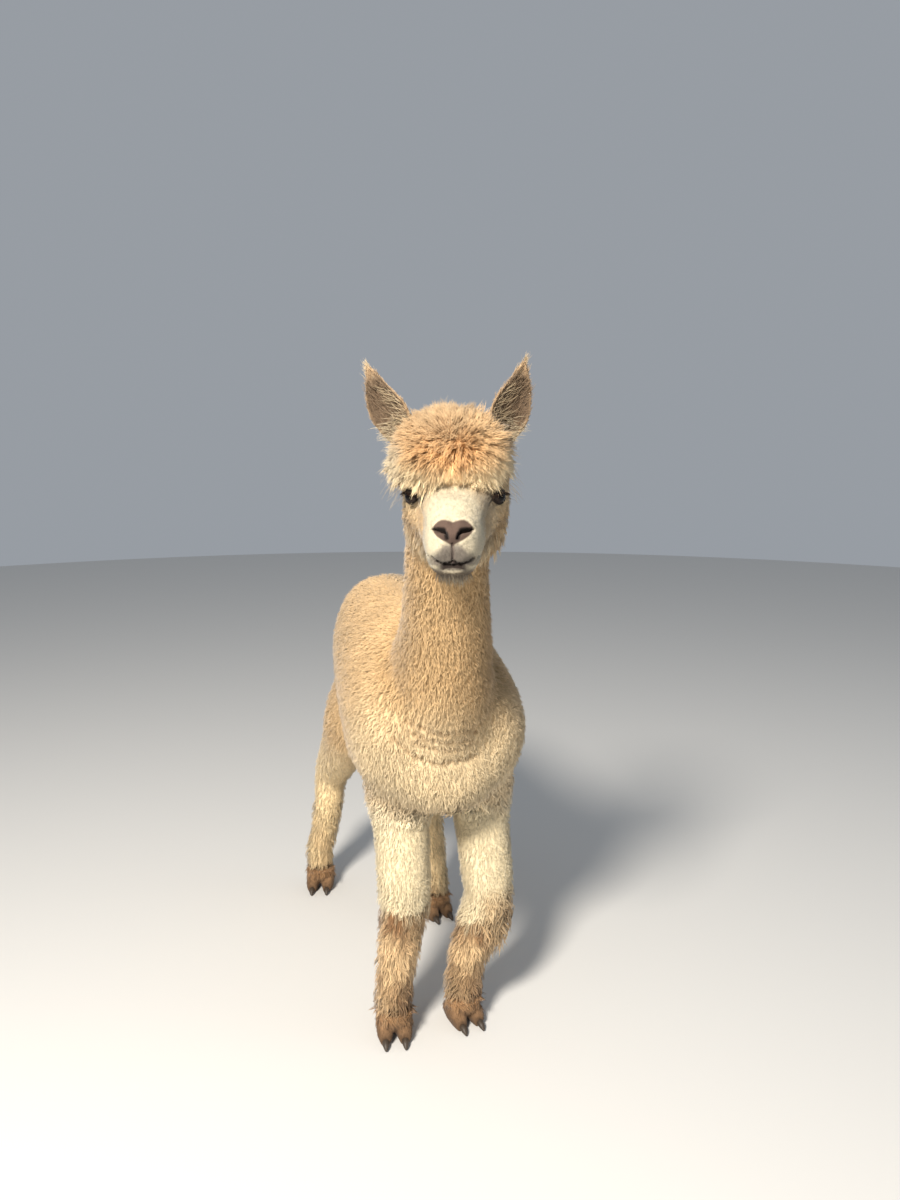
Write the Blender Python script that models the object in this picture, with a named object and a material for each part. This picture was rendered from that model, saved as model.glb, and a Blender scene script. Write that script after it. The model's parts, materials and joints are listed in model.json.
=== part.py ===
"""A standing alpaca at life size, as closed solids for the named parts of its body.

Metres, +Z up. The animal looks along -Y with its left side at +X, and its head is turned
a little to its own right. Every outline runs out to the tips of the coat. The origin is on
the ground, under the middle of the whole animal.
"""
import math

import bmesh
import bpy
import numpy as np
from mathutils import Matrix, Vector

# Driving sizes
GAP = 0.0003                # clearance between neighbouring solids
LEG_TOP = 0.500             # height of the cut between trunk and legs
FOOT_TOP = 0.062            # height of the cut between a leg and its foot
VOXEL = 0.009               # cell of the skin that joins the lofted forms
HEAD_REACH = 0.215          # how far from the head's centre the skin keeps finer faces
BODY_FACES = 2850           # triangles kept on trunk, neck and legs
HEAD_FACES = 1650           # triangles kept within the head's reach
SMOOTH_STEPS = 7

# The head's own frame: forward along the muzzle, left, up
HEAD_CENTRE = Vector((-0.034, -0.545, 1.225))
HEAD_TURN = math.radians(18.5)
HEAD_DROP = math.radians(20)

EYE_RADIUS = 0.0170
EYE_FORWARD = 0.056
EYE_SIDE = 0.0700
EYE_UP = 0.008

EAR_LENGTH = 0.143
EAR_HALF_WIDTH = 0.0420
EAR_WALL = 0.010

TAIL_X = 0.022              # the rump sways a little to the animal's left

# Where each foot stands: (x, y) of the pastern, and the turn of the toes outwards
FEET = {
    "front_right": (-0.105, -0.305, math.radians(9)),
    "front_left": (0.058, -0.297, math.radians(8)),
    "hind_right": (-0.162, 0.425, math.radians(14)),
    "hind_left": (0.122, 0.175, math.radians(12)),
}
TOE_SIDE = 0.0215           # half the distance between a foot's two toes
TOE_HALF_WIDTH = 0.0190
TOE_HEIGHT = 0.044
FOOT_SHARE = 0.017          # share of a foot's fine faces which is kept
TOE_REACH = 0.046           # from the pastern's middle to the root of the nail
NAIL_LENGTH = 0.021

COLOURS = {
    "fleece": ((0.70, 0.52, 0.33), 0.95),
    "crown": ((0.62, 0.38, 0.18), 0.95),
    "face": ((0.78, 0.70, 0.56), 0.90),
    "legs": ((0.68, 0.53, 0.35), 0.95),
    "ears": ((0.42, 0.31, 0.22), 0.92),
    "pads": ((0.16, 0.12, 0.10), 0.80),
    "nails": ((0.09, 0.07, 0.06), 0.45),
    "eyes": ((0.015, 0.010, 0.008), 0.06),
}


def head_axes():
    forward = Vector((-math.sin(HEAD_TURN) * math.cos(HEAD_DROP),
                      -math.cos(HEAD_TURN) * math.cos(HEAD_DROP),
                      -math.sin(HEAD_DROP)))
    left = Vector((math.cos(HEAD_TURN), -math.sin(HEAD_TURN), 0.0))
    return forward, left, forward.cross(left)


FORWARD, LEFT, UP = head_axes()


def on_head(forward, left, up):
    """A point given along the head's own axes."""
    return HEAD_CENTRE + FORWARD * forward + LEFT * left + UP * up


# ---------------------------------------------------------------- making shapes

def start_empty():
    for obj in list(bpy.data.objects):
        bpy.data.objects.remove(obj, do_unlink=True)


def material(name):
    found = bpy.data.materials.get(name)
    if found:
        return found
    colour, roughness = COLOURS[name]
    made = bpy.data.materials.new(name)
    made.use_nodes = True
    shader = made.node_tree.nodes["Principled BSDF"]
    shader.inputs["Base Color"].default_value = (*colour, 1)
    shader.inputs["Roughness"].default_value = roughness
    shader.inputs["Metallic"].default_value = 0.0
    made.diffuse_color = (*colour, 1)
    return made


def to_object(name, mesh):
    obj = bpy.data.objects.new(name, mesh)
    bpy.context.scene.collection.objects.link(obj)
    return obj


def from_bmesh(name, bm):
    bmesh.ops.recalc_face_normals(bm, faces=bm.faces)
    mesh = bpy.data.meshes.new(name)
    bm.to_mesh(mesh)
    bm.free()
    return to_object(name, mesh)


def baked(obj, *modifiers):
    """The object with these modifiers applied: each is (type, settings)."""
    for kind, settings in modifiers:
        made = obj.modifiers.new(kind.title(), kind)
        for key, value in settings.items():
            setattr(made, key, value)
    graph = bpy.context.evaluated_depsgraph_get()
    graph.update()
    mesh = bpy.data.meshes.new_from_object(obj.evaluated_get(graph))
    obj.modifiers.clear()
    obj.data = mesh
    return obj


def between(rows, count):
    """Rows of numbers read at count even steps along a smooth curve through the given rows."""
    rows = np.array(rows, float)
    places = np.linspace(0, len(rows) - 1, count)
    padded = np.vstack([2 * rows[0] - rows[1], rows, 2 * rows[-1] - rows[-2]])
    result = []
    for place in places:
        first = min(int(place), len(rows) - 2)
        t = place - first
        a, b, c, d = padded[first:first + 4]
        result.append(0.5 * (2 * b + (c - a) * t + (2 * a - 5 * b + 4 * c - d) * t ** 2
                             + (3 * b - a - 3 * c + d) * t ** 3))
    return np.array(result)


def loft(name, stations, count=18, around=24, side=Vector((1, 0, 0)), fullness=2.2):
    """A closed form through rings. A station is (x, y, z, half width along side, half depth)."""
    rings = between(stations, count)
    bm = bmesh.new()
    loops = []
    for i, (x, y, z, half_width, half_depth) in enumerate(rings):
        ahead = rings[min(i + 1, count - 1)][:3]
        behind = rings[max(i - 1, 0)][:3]
        along = Vector(ahead - behind).normalized()
        across = (side - along * side.dot(along)).normalized()
        out = along.cross(across)
        ring = []
        for k in range(around):
            angle = 2 * math.pi * k / around
            c, s = math.cos(angle), math.sin(angle)
            u = math.copysign(abs(c) ** (2 / fullness), c) * half_width
            v = math.copysign(abs(s) ** (2 / fullness), s) * half_depth
            ring.append(bm.verts.new(Vector((x, y, z)) + across * u + out * v))
        loops.append(ring)
    for low, high in zip(loops, loops[1:]):
        for k in range(around):
            n = (k + 1) % around
            bm.faces.new((low[k], low[n], high[n], high[k]))
    bm.faces.new(loops[0])
    bm.faces.new(loops[-1])
    return from_bmesh(name, bm)


def ball(name, centre, radii, axes, rings=12, around=20):
    bm = bmesh.new()
    bmesh.ops.create_uvsphere(bm, u_segments=around, v_segments=rings, radius=1)
    turn = Matrix((axes[0], axes[1], axes[2])).transposed()
    for v in bm.verts:
        v.co = centre + turn @ Vector(np.multiply(v.co, radii))
    return from_bmesh(name, bm)


def joined(name, objects):
    """One mesh holding copies of all these, which are then removed."""
    bm = bmesh.new()
    for obj in objects:
        bm.from_mesh(obj.data)
        bpy.data.objects.remove(obj, do_unlink=True)
    return from_bmesh(name, bm)


def cut(obj, point, normal):
    """The object without what lies beyond the plane, closed again by a flat cap."""
    bm = bmesh.new()
    bm.from_mesh(obj.data)
    bmesh.ops.bisect_plane(bm, geom=bm.verts[:] + bm.edges[:] + bm.faces[:], dist=1e-6,
                           plane_co=point, plane_no=normal, clear_outer=True)
    bmesh.ops.holes_fill(bm, edges=[e for e in bm.edges if e.is_boundary], sides=0)
    bm.to_mesh(obj.data)
    bm.free()
    return obj


def copy_of(obj, name):
    return to_object(name, obj.data.copy())


def parted(obj, point, normal, beyond_name):
    """Cuts obj in two with a thin gap. Returns the near piece and the piece beyond."""
    point, normal = Vector(point), Vector(normal).normalized()
    beyond = copy_of(obj, beyond_name)
    cut(beyond, point + normal * GAP / 2, -normal)
    cut(obj, point - normal * GAP / 2, normal)
    return obj, beyond


def loose_pieces(obj):
    """The separate bodies in obj, as objects, largest first."""
    bm = bmesh.new()
    bm.from_mesh(obj.data)
    seen, groups = set(), []
    for start in bm.verts:
        if start in seen:
            continue
        group, todo = [], [start]
        seen.add(start)
        while todo:
            v = todo.pop()
            group.append(v.index)
            for edge in v.link_edges:
                other = edge.other_vert(v)
                if other not in seen:
                    seen.add(other)
                    todo.append(other)
        groups.append(set(group))
    bm.free()
    pieces = []
    for group in sorted(groups, key=len, reverse=True):
        bm = bmesh.new()
        bm.from_mesh(obj.data)
        bmesh.ops.delete(bm, geom=[v for v in bm.verts if v.index not in group], context="VERTS")
        pieces.append(from_bmesh("piece", bm))
    bpy.data.objects.remove(obj, do_unlink=True)
    return pieces


def without(obj, cutter, keep_cutter=False):
    """obj with the cutter's space taken out of it."""
    baked(obj, ("BOOLEAN", {"operation": "DIFFERENCE", "solver": "EXACT", "object": cutter}))
    if not keep_cutter:
        bpy.data.objects.remove(cutter, do_unlink=True)
    return obj


def grown(obj, amount):
    """A copy of obj, larger by amount on every side."""
    return baked(copy_of(obj, "grown"), ("DISPLACE", {"strength": amount, "mid_level": 0.0}))


def middle(obj):
    corners = np.array([v.co for v in obj.data.vertices])
    return (corners.min(0) + corners.max(0)) / 2


# ---------------------------------------------------------------- the lofted forms

def trunk_form():
    """Chest at -Y to rump at +Y: level back, deep chest, belly rising to the groin."""
    stations = [
        # x, y, z, half width, half height
        (0.004, -0.408, 0.650, 0.050, 0.070),
        (0.004, -0.385, 0.650, 0.128, 0.120),
        (0.006, -0.330, 0.668, 0.186, 0.163),
        (0.009, -0.230, 0.695, 0.203, 0.195),
        (0.012, -0.100, 0.724, 0.196, 0.212),
        (0.017, 0.050, 0.746, 0.184, 0.214),
        (0.021, 0.190, 0.762, 0.170, 0.203),
        (0.024, 0.310, 0.762, 0.151, 0.190),
        (0.024, 0.390, 0.750, 0.120, 0.160),
        (0.024, 0.432, 0.742, 0.080, 0.110),
        (0.024, 0.448, 0.738, 0.035, 0.055),
    ]
    return loft("trunk_form", stations, count=26, around=32, fullness=2.15)


def neck_form():
    stations = [
        (0.004, -0.205, 0.680, 0.126, 0.150),
        (0.002, -0.272, 0.755, 0.122, 0.168),
        (-0.002, -0.338, 0.838, 0.106, 0.144),
        (-0.010, -0.394, 0.925, 0.093, 0.114),
        (-0.022, -0.441, 1.010, 0.086, 0.097),
        (-0.033, -0.482, 1.095, 0.081, 0.088),
        (-0.040, -0.515, 1.175, 0.078, 0.082),
        (-0.042, -0.530, 1.230, 0.060, 0.064),
    ]
    return loft("neck_form", stations, count=20, around=28)


def head_form():
    """Rings from the nape to the tip of the nose, wide with wool at the jaws."""
    profile = [
        # forward, middle's height, half width, half height
        (-0.092, -0.004, 0.046, 0.046),
        (-0.062, -0.012, 0.082, 0.080),
        (-0.015, -0.022, 0.099, 0.095),
        (0.025, -0.027, 0.096, 0.090),
        (0.055, -0.027, 0.083, 0.080),
        (0.085, -0.028, 0.066, 0.071),
        (0.115, -0.030, 0.0575, 0.064),
        (0.150, -0.034, 0.0510, 0.059),
        (0.180, -0.037, 0.0470, 0.053),
        (0.201, -0.038, 0.0390, 0.043),
        (0.211, -0.038, 0.0200, 0.023),
    ]
    stations = [(*on_head(forward, 0, height), half_width, half_height)
                for forward, height, half_width, half_height in profile]
    return loft("head_form", stations, count=26, around=28, side=LEFT, fullness=2.3)


def cheek_form(side):
    """The pad of wool over each jaw."""
    return ball("cheek_form", on_head(0.018, side * 0.052, -0.070), (0.062, 0.043, 0.060),
                (FORWARD, LEFT, UP), rings=12, around=18)


def topknot_form():
    """The woolly crown: a dome above, flatter below, jutting over the brow."""
    obj = ball("topknot_form", Vector((0, 0, 0)), (1, 1, 1), np.eye(3), rings=20, around=32)
    level_up = Vector((0, 0, 1))
    level_forward = LEFT.cross(level_up).normalized() * -1
    centre = Vector((-0.046, -0.553, 1.268))
    for v in obj.data.vertices:
        x, y, z = v.co
        rise = 0.106 if z > 0 else 0.060
        v.co = centre + LEFT * x * 0.119 + level_forward * y * 0.108 + level_up * z * rise
    return obj


def leg_form(name, stations, fullness=2.1):
    return loft(name, stations, count=22, around=20, fullness=fullness)


def front_leg(side_name, top_x, knee_x):
    foot_x, foot_y, _ = FEET["front_" + side_name]
    return leg_form("front_leg_form", [
        (top_x, -0.215, 0.700, 0.076, 0.110),
        (top_x, -0.225, 0.600, 0.080, 0.094),
        (top_x, -0.238, 0.500, 0.072, 0.075),
        (top_x * 0.6 + knee_x * 0.4, -0.258, 0.425, 0.066, 0.066),
        (knee_x, -0.276, 0.345, 0.0655, 0.065),
        (knee_x, -0.280, 0.285, 0.057, 0.058),
        (knee_x * 0.5 + foot_x * 0.5, foot_y + 0.012, 0.205, 0.0490, 0.050),
        (foot_x * 0.9 + knee_x * 0.1, foot_y + 0.006, 0.120, 0.0455, 0.047),
        (foot_x, foot_y, 0.050, 0.0420, 0.044),
    ])


def hind_leg(side_name, hip, stifle, hock):
    foot_x, foot_y, _ = FEET["hind_" + side_name]
    hip_x, hip_y = hip
    stifle_x, stifle_y = stifle
    hock_x, hock_y = hock
    return leg_form("hind_leg_form", [
        (hip_x, hip_y, 0.760, 0.070, 0.135),
        (hip_x, hip_y - 0.015, 0.660, 0.078, 0.138),
        (stifle_x, stifle_y, 0.560, 0.076, 0.118),
        (stifle_x * 0.7 + hock_x * 0.3, stifle_y * 0.6 + hock_y * 0.4, 0.465, 0.066, 0.086),
        (hock_x, hock_y, 0.345, 0.054, 0.060),
        (hock_x * 0.8 + foot_x * 0.2, hock_y * 0.85 + foot_y * 0.15, 0.275, 0.048, 0.052),
        (hock_x * 0.4 + foot_x * 0.6, hock_y * 0.4 + foot_y * 0.6 + 0.004, 0.180, 0.0435, 0.046),
        (foot_x, foot_y + 0.006, 0.110, 0.0430, 0.045),
        (foot_x, foot_y, 0.050, 0.0420, 0.044),
    ])


def whole_body():
    """Trunk, neck, head, crown and legs run together into one skin."""
    forms = [
        trunk_form(),
        neck_form(),
        head_form(),
        topknot_form(),
        cheek_form(-1),
        cheek_form(1),
        front_leg("right", -0.071, -0.073),
        front_leg("left", 0.116, 0.120),
        hind_leg("right", (-0.058, 0.262), (-0.090, 0.262), (-0.120, 0.440)),
        hind_leg("left", (0.106, 0.225), (0.120, 0.165), (0.122, 0.270)),
    ]
    body = joined("body", forms)
    baked(body, ("REMESH", {"mode": "VOXEL", "voxel_size": VOXEL}),
          ("SMOOTH", {"factor": 0.5, "iterations": SMOOTH_STEPS}))
    at_head = sum(near_head(p.center) for p in body.data.polygons) * 2
    thin_out(body, lambda point: not near_head(point), BODY_FACES + at_head)
    thin_out(body, near_head, BODY_FACES + HEAD_FACES)
    return body


def near_head(point):
    return (point - HEAD_CENTRE).length < HEAD_REACH


def thin_out(body, chosen, target):
    """Merges faces only where chosen(point) is true, until about target triangles are left."""
    group = body.vertex_groups.new(name="chosen")
    group.add([v.index for v in body.data.vertices if chosen(v.co)], 1.0, "REPLACE")
    body.data.calc_loop_triangles()
    share = target / len(body.data.loop_triangles)
    baked(body, ("DECIMATE", {"ratio": share, "vertex_group": "chosen",
                              "vertex_group_factor": 100.0}))
    body.vertex_groups.clear()


# ---------------------------------------------------------------- separate parts

def ear_form(name, side, tip_out):
    """A leaf-shaped shell, open forwards and outwards. side is 1 for left, -1 for right."""
    root = on_head(-0.022, side * 0.079, 0.092)
    axis = (UP * 0.92 + LEFT * side * tip_out - FORWARD * 0.02).normalized()
    hollow = (FORWARD * 0.97 + LEFT * side * 0.18 - UP * 0.10)
    hollow = (hollow - axis * hollow.dot(axis)).normalized()
    across = axis.cross(hollow)
    rings, around = 11, 7
    bm = bmesh.new()
    loops = []
    for i in range(rings):
        t = i / (rings - 1)
        half_width = EAR_HALF_WIDTH * (0.62 + 0.38 * math.sin(math.pi * min(t / 0.62, 1)))
        half_width *= math.sqrt(max(1 - ((t - 0.30) / 0.71) ** 2, 0.004)) if t > 0.30 else 1
        wall = EAR_WALL * (1 - 0.55 * t)
        depth = half_width * (0.62 - 0.25 * t)
        middle_line = root + axis * EAR_LENGTH * t + LEFT * side * -0.012 * t ** 2
        ring = []
        for turn, inside in [(k, False) for k in range(around)] + \
                            [(k, True) for k in reversed(range(1, around - 1))]:
            angle = math.pi * (turn / (around - 1) - 0.5)
            bowl = depth * (1 - math.cos(angle)) - depth * 0.6
            shift = wall if inside else 0.0
            flat = 0.86 if inside else 1.0
            ring.append(bm.verts.new(middle_line + across * half_width * flat * math.sin(angle)
                                     + hollow * (bowl + shift)))
        loops.append(ring)
    size = len(loops[0])
    for low, high in zip(loops, loops[1:]):
        for k in range(size):
            n = (k + 1) % size
            bm.faces.new((low[k], low[n], high[n], high[k]))
    bm.faces.new(loops[0])
    bm.faces.new(loops[-1])
    return from_bmesh(name, bm)


def tail_form():
    return loft("tail", [
        (TAIL_X, 0.395, 0.845, 0.032, 0.032),
        (TAIL_X, 0.436, 0.822, 0.046, 0.038),
        (TAIL_X, 0.466, 0.765, 0.056, 0.040),
        (TAIL_X, 0.478, 0.700, 0.060, 0.040),
        (TAIL_X, 0.480, 0.640, 0.052, 0.036),
        (TAIL_X, 0.474, 0.590, 0.032, 0.025),
        (TAIL_X, 0.470, 0.568, 0.010, 0.010),
    ], count=11, around=12)


def foot_frame(name):
    """The foot's middle on the ground and its own forward and left directions."""
    x, y, toe_out = FEET[name]
    turn = toe_out if "left" in name else -toe_out
    forward = Vector((math.sin(turn), -math.cos(turn), 0))
    left = Vector((math.cos(turn), math.sin(turn), 0))
    return Vector((x, y, 0)), forward, left


def toe_form(origin, forward, side):
    """One padded toe, from under the pastern to the root of its nail."""
    profile = [
        # forward, half width, height above the ground
        (-0.036, 0.45, 0.45),
        (-0.028, 0.85, 0.85),
        (-0.010, 1.00, 1.12),
        (0.010, 1.02, 1.10),
        (0.028, 0.94, 0.92),
        (0.040, 0.78, 0.72),
        (TOE_REACH + 0.004, 0.56, 0.54),
    ]
    stations = []
    for reach, width, height in profile:
        half_height = TOE_HEIGHT * height / 2
        place = origin + forward * reach + Vector((0, 0, half_height - 0.003))
        stations.append((*place, TOE_HALF_WIDTH * width, half_height))
    return loft("toe", stations, count=12, around=14, side=side, fullness=2.5)


def foot(name):
    """Two toes and the woolly pastern above them, flat underneath."""
    middle_point, forward, left = foot_frame(name)
    toes = [toe_form(middle_point + left * TOE_SIDE * s, forward, left) for s in (-1, 1)]
    x, y, _ = middle_point
    pastern = loft("pastern", [
        (x, y, 0.024, 0.030, 0.026),
        (x, y, 0.045, 0.038, 0.038),
        (x, y, 0.080, 0.0405, 0.0425),
    ], count=6, around=20)
    made = joined("foot_" + name, toes + [pastern])
    baked(made, ("REMESH", {"mode": "VOXEL", "voxel_size": 0.0028}),
          ("SMOOTH", {"factor": 0.5, "iterations": 3}),
          ("DECIMATE", {"ratio": FOOT_SHARE}))
    cut(made, Vector((0, 0, 0)), Vector((0, 0, -1)))
    cut(made, Vector((0, 0, FOOT_TOP - GAP / 2)), Vector((0, 0, 1)))
    for toe in (-1, 1):
        root = middle_point + left * TOE_SIDE * toe + forward * TOE_REACH
        cut_toe_tip(made, root, forward)
    return made


def cut_toe_tip(made, root, forward):
    """Trims a toe square, where its nail grows from it."""
    cut(made, root - forward * GAP, forward)


def nail(name, toe):
    """A short curved claw, from the toe's tip down almost to the ground."""
    middle_point, forward, left = foot_frame(name)
    root = middle_point + left * TOE_SIDE * toe + forward * TOE_REACH
    stations = []
    for t, width, height in [(-0.25, 0.0084, 0.0090), (0.35, 0.0080, 0.0078),
                             (0.70, 0.0058, 0.0050), (1.0, 0.0022, 0.0018)]:
        droop = 0.0085 * max(t, 0) ** 1.6
        place = root + forward * NAIL_LENGTH * t + Vector((0, 0, 0.0125 - droop))
        stations.append((*place, width, height))
    side_name = "inner" if (toe > 0) != ("left" in name) else "outer"
    claw = loft(f"nail_{name}_{side_name}", stations, count=6, around=8, side=left)
    return cut(claw, root, -forward)


def eye(name, side):
    centre = on_head(EYE_FORWARD, side * EYE_SIDE, EYE_UP)
    return ball(name, centre, (EYE_RADIUS,) * 3, (FORWARD, LEFT, UP), rings=8, around=14)


# ---------------------------------------------------------------- putting it together

def take_apart(body):
    """The whole skin parted by thin flat cuts into trunk, neck, head, crown and legs."""
    _, neck = parted(body, (0, -0.285, 0.815), (0, -0.57, 0.82), "neck")
    across = Vector((-0.24, -0.74, 0.62))
    _, head = parted(neck, (-0.034, -0.522, 1.158), across, "head")
    _, topknot = parted(head, on_head(0.0, 0, 0.037), UP, "topknot")
    lower = copy_of(body, "lower")
    cut(body, Vector((0, 0, LEG_TOP + GAP / 2)), Vector((0, 0, -1)))
    cut(lower, Vector((0, 0, LEG_TOP - GAP / 2)), Vector((0, 0, 1)))
    cut(lower, Vector((0, 0, FOOT_TOP + GAP / 2)), Vector((0, 0, -1)))
    legs = {}
    for piece in loose_pieces(lower)[:4]:
        x, y, _ = middle(piece)
        name = ("front" if y < 0 else "hind") + "_leg_" + ("right" if x < 0 else "left")
        piece.name = name
        legs[name] = piece
    body.name = "trunk"
    return {"trunk": body, "neck": neck, "head": head, "topknot": topknot, **legs}


def build():
    start_empty()
    body = whole_body()
    cutter = grown(body, GAP * 1.5)
    ears = {"ear_right": ear_form("ear_right", -1, 0.55), "ear_left": ear_form("ear_left", 1, 0.38)}
    for ear in ears.values():
        without(ear, cutter, keep_cutter=True)
    tail = without(tail_form(), cutter)
    flesh = take_apart(body)

    eyes = {}
    for name, side in (("eye_right", -1), ("eye_left", 1)):
        socket = ball("socket", on_head(EYE_FORWARD, side * EYE_SIDE, EYE_UP),
                      (EYE_RADIUS + GAP,) * 3, (FORWARD, LEFT, UP), rings=8, around=14)
        without(flesh["head"], socket)
        eyes[name] = eye(name, side)

    dress(flesh, {"head": "face", "topknot": "crown"}, "fleece", "legs")
    for ear in ears.values():
        ear.data.materials.append(material("ears"))
    tail.data.materials.append(material("fleece"))
    for obj in eyes.values():
        obj.data.materials.append(material("eyes"))
    for name in FEET:
        foot(name).data.materials.append(material("pads"))
        for toe in (-1, 1):
            nail(name, toe).data.materials.append(material("nails"))
    centre_on_origin()


def dress(flesh, special, plain, legs):
    for name, obj in flesh.items():
        kind = special.get(name, legs if "_leg_" in name else plain)
        obj.data.materials.clear()
        obj.data.materials.append(material(kind))


def centre_on_origin():
    """Moves everything so that the origin is on the ground under the middle of the box."""
    solids = [o for o in bpy.context.scene.objects if o.type == "MESH"]
    points = np.array([v.co for o in solids for v in o.data.vertices])
    mid = (points.min(0) + points.max(0)) / 2
    for obj in solids:
        obj.data.transform(Matrix.Translation((-mid[0], -mid[1], 0)))
        obj.data.shade_smooth()


build()
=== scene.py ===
import json
import math
import bmesh
import bpy
import numpy as np
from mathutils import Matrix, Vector
from mathutils.bvhtree import BVHTree

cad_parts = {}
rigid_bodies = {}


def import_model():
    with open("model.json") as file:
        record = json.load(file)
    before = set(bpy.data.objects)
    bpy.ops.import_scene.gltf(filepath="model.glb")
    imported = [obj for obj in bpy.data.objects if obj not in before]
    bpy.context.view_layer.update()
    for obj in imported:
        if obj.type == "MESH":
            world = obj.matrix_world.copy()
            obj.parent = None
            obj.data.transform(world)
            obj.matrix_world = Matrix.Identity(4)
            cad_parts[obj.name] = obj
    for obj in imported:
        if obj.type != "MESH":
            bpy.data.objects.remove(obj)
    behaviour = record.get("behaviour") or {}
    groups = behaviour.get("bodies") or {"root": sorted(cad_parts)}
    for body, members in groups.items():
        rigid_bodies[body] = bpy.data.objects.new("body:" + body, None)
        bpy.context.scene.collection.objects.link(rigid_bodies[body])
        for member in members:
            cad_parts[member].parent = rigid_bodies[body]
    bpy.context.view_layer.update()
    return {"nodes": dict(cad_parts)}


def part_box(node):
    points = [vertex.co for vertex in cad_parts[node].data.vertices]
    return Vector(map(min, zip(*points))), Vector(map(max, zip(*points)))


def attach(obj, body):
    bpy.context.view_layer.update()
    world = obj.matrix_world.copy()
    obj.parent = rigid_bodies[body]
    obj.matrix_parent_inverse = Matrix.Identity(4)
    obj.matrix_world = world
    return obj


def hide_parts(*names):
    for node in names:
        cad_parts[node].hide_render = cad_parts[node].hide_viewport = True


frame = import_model()
nodes = frame["nodes"]
rng = np.random.default_rng(11)
sides = (-1, 1)  # the animal's right and left


# Colours, as seen in full light; a few of them are painted shade and painted light

def paint(red, green, blue):  # from 0 to 255, as a screen takes them, to linear light
    share = np.array([red, green, blue]) / 255
    return np.where(share <= 0.04045, share / 12.92, ((share + 0.055) / 1.055) ** 2.4)


wool = {name: paint(*colour) for name, colour in {
    "trunk": (220, 186, 140), "chest": (236, 212, 171), "brisket": (255, 238, 202),
    # the crease colour is painted shade in the wool's creases round the neck's base
    "creaseShade": (156, 118, 80), "neck": (212, 177, 130), "head": (218, 190, 148), "face": (202, 190, 164),
    # the chin colour is the chin underside's greyer hair with painted shade over it
    "faceSide": (198, 168, 128), "cheek": (206, 170, 124), "chinHairAndShade": (116, 104, 88),
    # the shade-hair colour is painted shade on the face's hair
    "paintedShadeHair": (164, 152, 130), "tail": (226, 198, 156), "topknot": (192, 140, 88),
    # the crown's top colour is painted shade against the light from above, and its far-side colour painted
    # light on the crown's left
    "crownTopShade": (156, 126, 93), "crownSide": (196, 156, 112), "crownLeftLight": (236, 194, 142),
    "temple": (214, 196, 168), "fringe": (240, 214, 170), "fringeTip": (238, 218, 178),
    "upperLeg": (244, 226, 188), "hindLeg": (252, 226, 180), "lowerLeg": (232, 198, 152),
    # the leg-shade colour gives the lower legs' brown streaks and painted shade in bands on the front legs
    "hindLower": (255, 226, 176), "legBrownAndShade": (140, 100, 66), "mud": (122, 88, 62), "foot": (110, 86, 65),
    "footTop": (182, 142, 102), "nailDark": (34, 29, 26), "nailPale": (84, 70, 56),
    "earBack": (190, 161, 126), "earInside": (106, 88, 71), "earHair": (196, 176, 144),
    "earBase": (216, 200, 170), "earStreak": (146, 124, 100), "nose": (92, 75, 66), "noseLow": (72, 58, 51),
    # the nostril colour is painted shade inside the nostrils, and the mouth colour painted shade in the
    # mouth's line
    "nostrilShade": (22, 16, 14), "lips": (110, 102, 95), "cleft": (92, 78, 72), "mouthShade": (34, 24, 21),
    # the eye-rim colour is the dark lid skin, widened with painted shade
    "iris": (30, 18, 12), "pupil": (6, 5, 6), "eyeWhite": (40, 28, 22), "eyeRimAndShade": (34, 26, 22),
    "lash": (52, 40, 32),
}.items()}


# Where the head is and how it is turned

headPlace = {"turn": 18.5, "drop": 20.0, "eyeForward": 0.056, "eyeUp": 0.008}


def boxMiddle(node):
    low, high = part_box(node)
    return (Vector(low) + Vector(high)) / 2


def findHead():
    turn, drop = math.radians(headPlace["turn"]), math.radians(headPlace["drop"])
    forward = Vector((-math.sin(turn) * math.cos(drop), -math.cos(turn) * math.cos(drop), -math.sin(drop)))
    left = Vector((math.cos(turn), -math.sin(turn), 0))
    up = forward.cross(left)
    middle = (boxMiddle("eye_left") + boxMiddle("eye_right")) / 2
    return middle - forward * headPlace["eyeForward"] - up * headPlace["eyeUp"], forward, left, up


headMiddle, headForward, headLeft, headUp = findHead()
headAxes = np.array([headForward, headLeft, headUp])


def toHead(places):  # forward, left, up from the head's middle
    return (np.asarray(places) - np.array(headMiddle)) @ headAxes.T


def fromHead(places):
    return np.asarray(places) @ headAxes + np.array(headMiddle)


def ease(low, high, value):  # 0 below low, 1 above high, smooth between
    t = np.clip((value - low) / (high - low), 0, 1)
    return t * t * (3 - 2 * t)


def unit(values, least=1e-9):
    return values / np.linalg.norm(values, axis=-1, keepdims=True).clip(least)


# Meshes from and to arrays

def newObject(name, mesh):
    obj = bpy.data.objects.new(name, mesh)
    bpy.context.scene.collection.objects.link(obj)
    return obj


def fromBmesh(name, bm):
    mesh = bpy.data.meshes.new(name)
    bm.to_mesh(mesh)
    bm.free()
    return newObject(name, mesh)


def bridge(bm, loops):  # a band of faces between each two closed loops, where a loop may be a single point
    for low, high in zip(loops, loops[1:]):
        around = max(len(low), len(high))
        for k in range(around):
            n = (k + 1) % around
            corners = [low[k % len(low)], low[n % len(low)], high[n % len(high)], high[k % len(high)]]
            bm.faces.new(list(dict.fromkeys(corners)))


def column(items, key, width, kind=np.float32):
    values = np.empty(len(items) * width, kind)
    items.foreach_get(key, values)
    return values.reshape(-1, width) if width > 1 else values


def points(mesh):
    return column(mesh.vertices, "co", 3).astype(float)


def normals(mesh):
    return column(mesh.vertex_normals, "vector", 3).astype(float)


def ends(mesh):
    return column(mesh.edges, "vertices", 2, np.int32)


def setPoints(mesh, places):
    mesh.vertices.foreach_set("co", np.asarray(places, np.float32).ravel())
    mesh.update()


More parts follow.
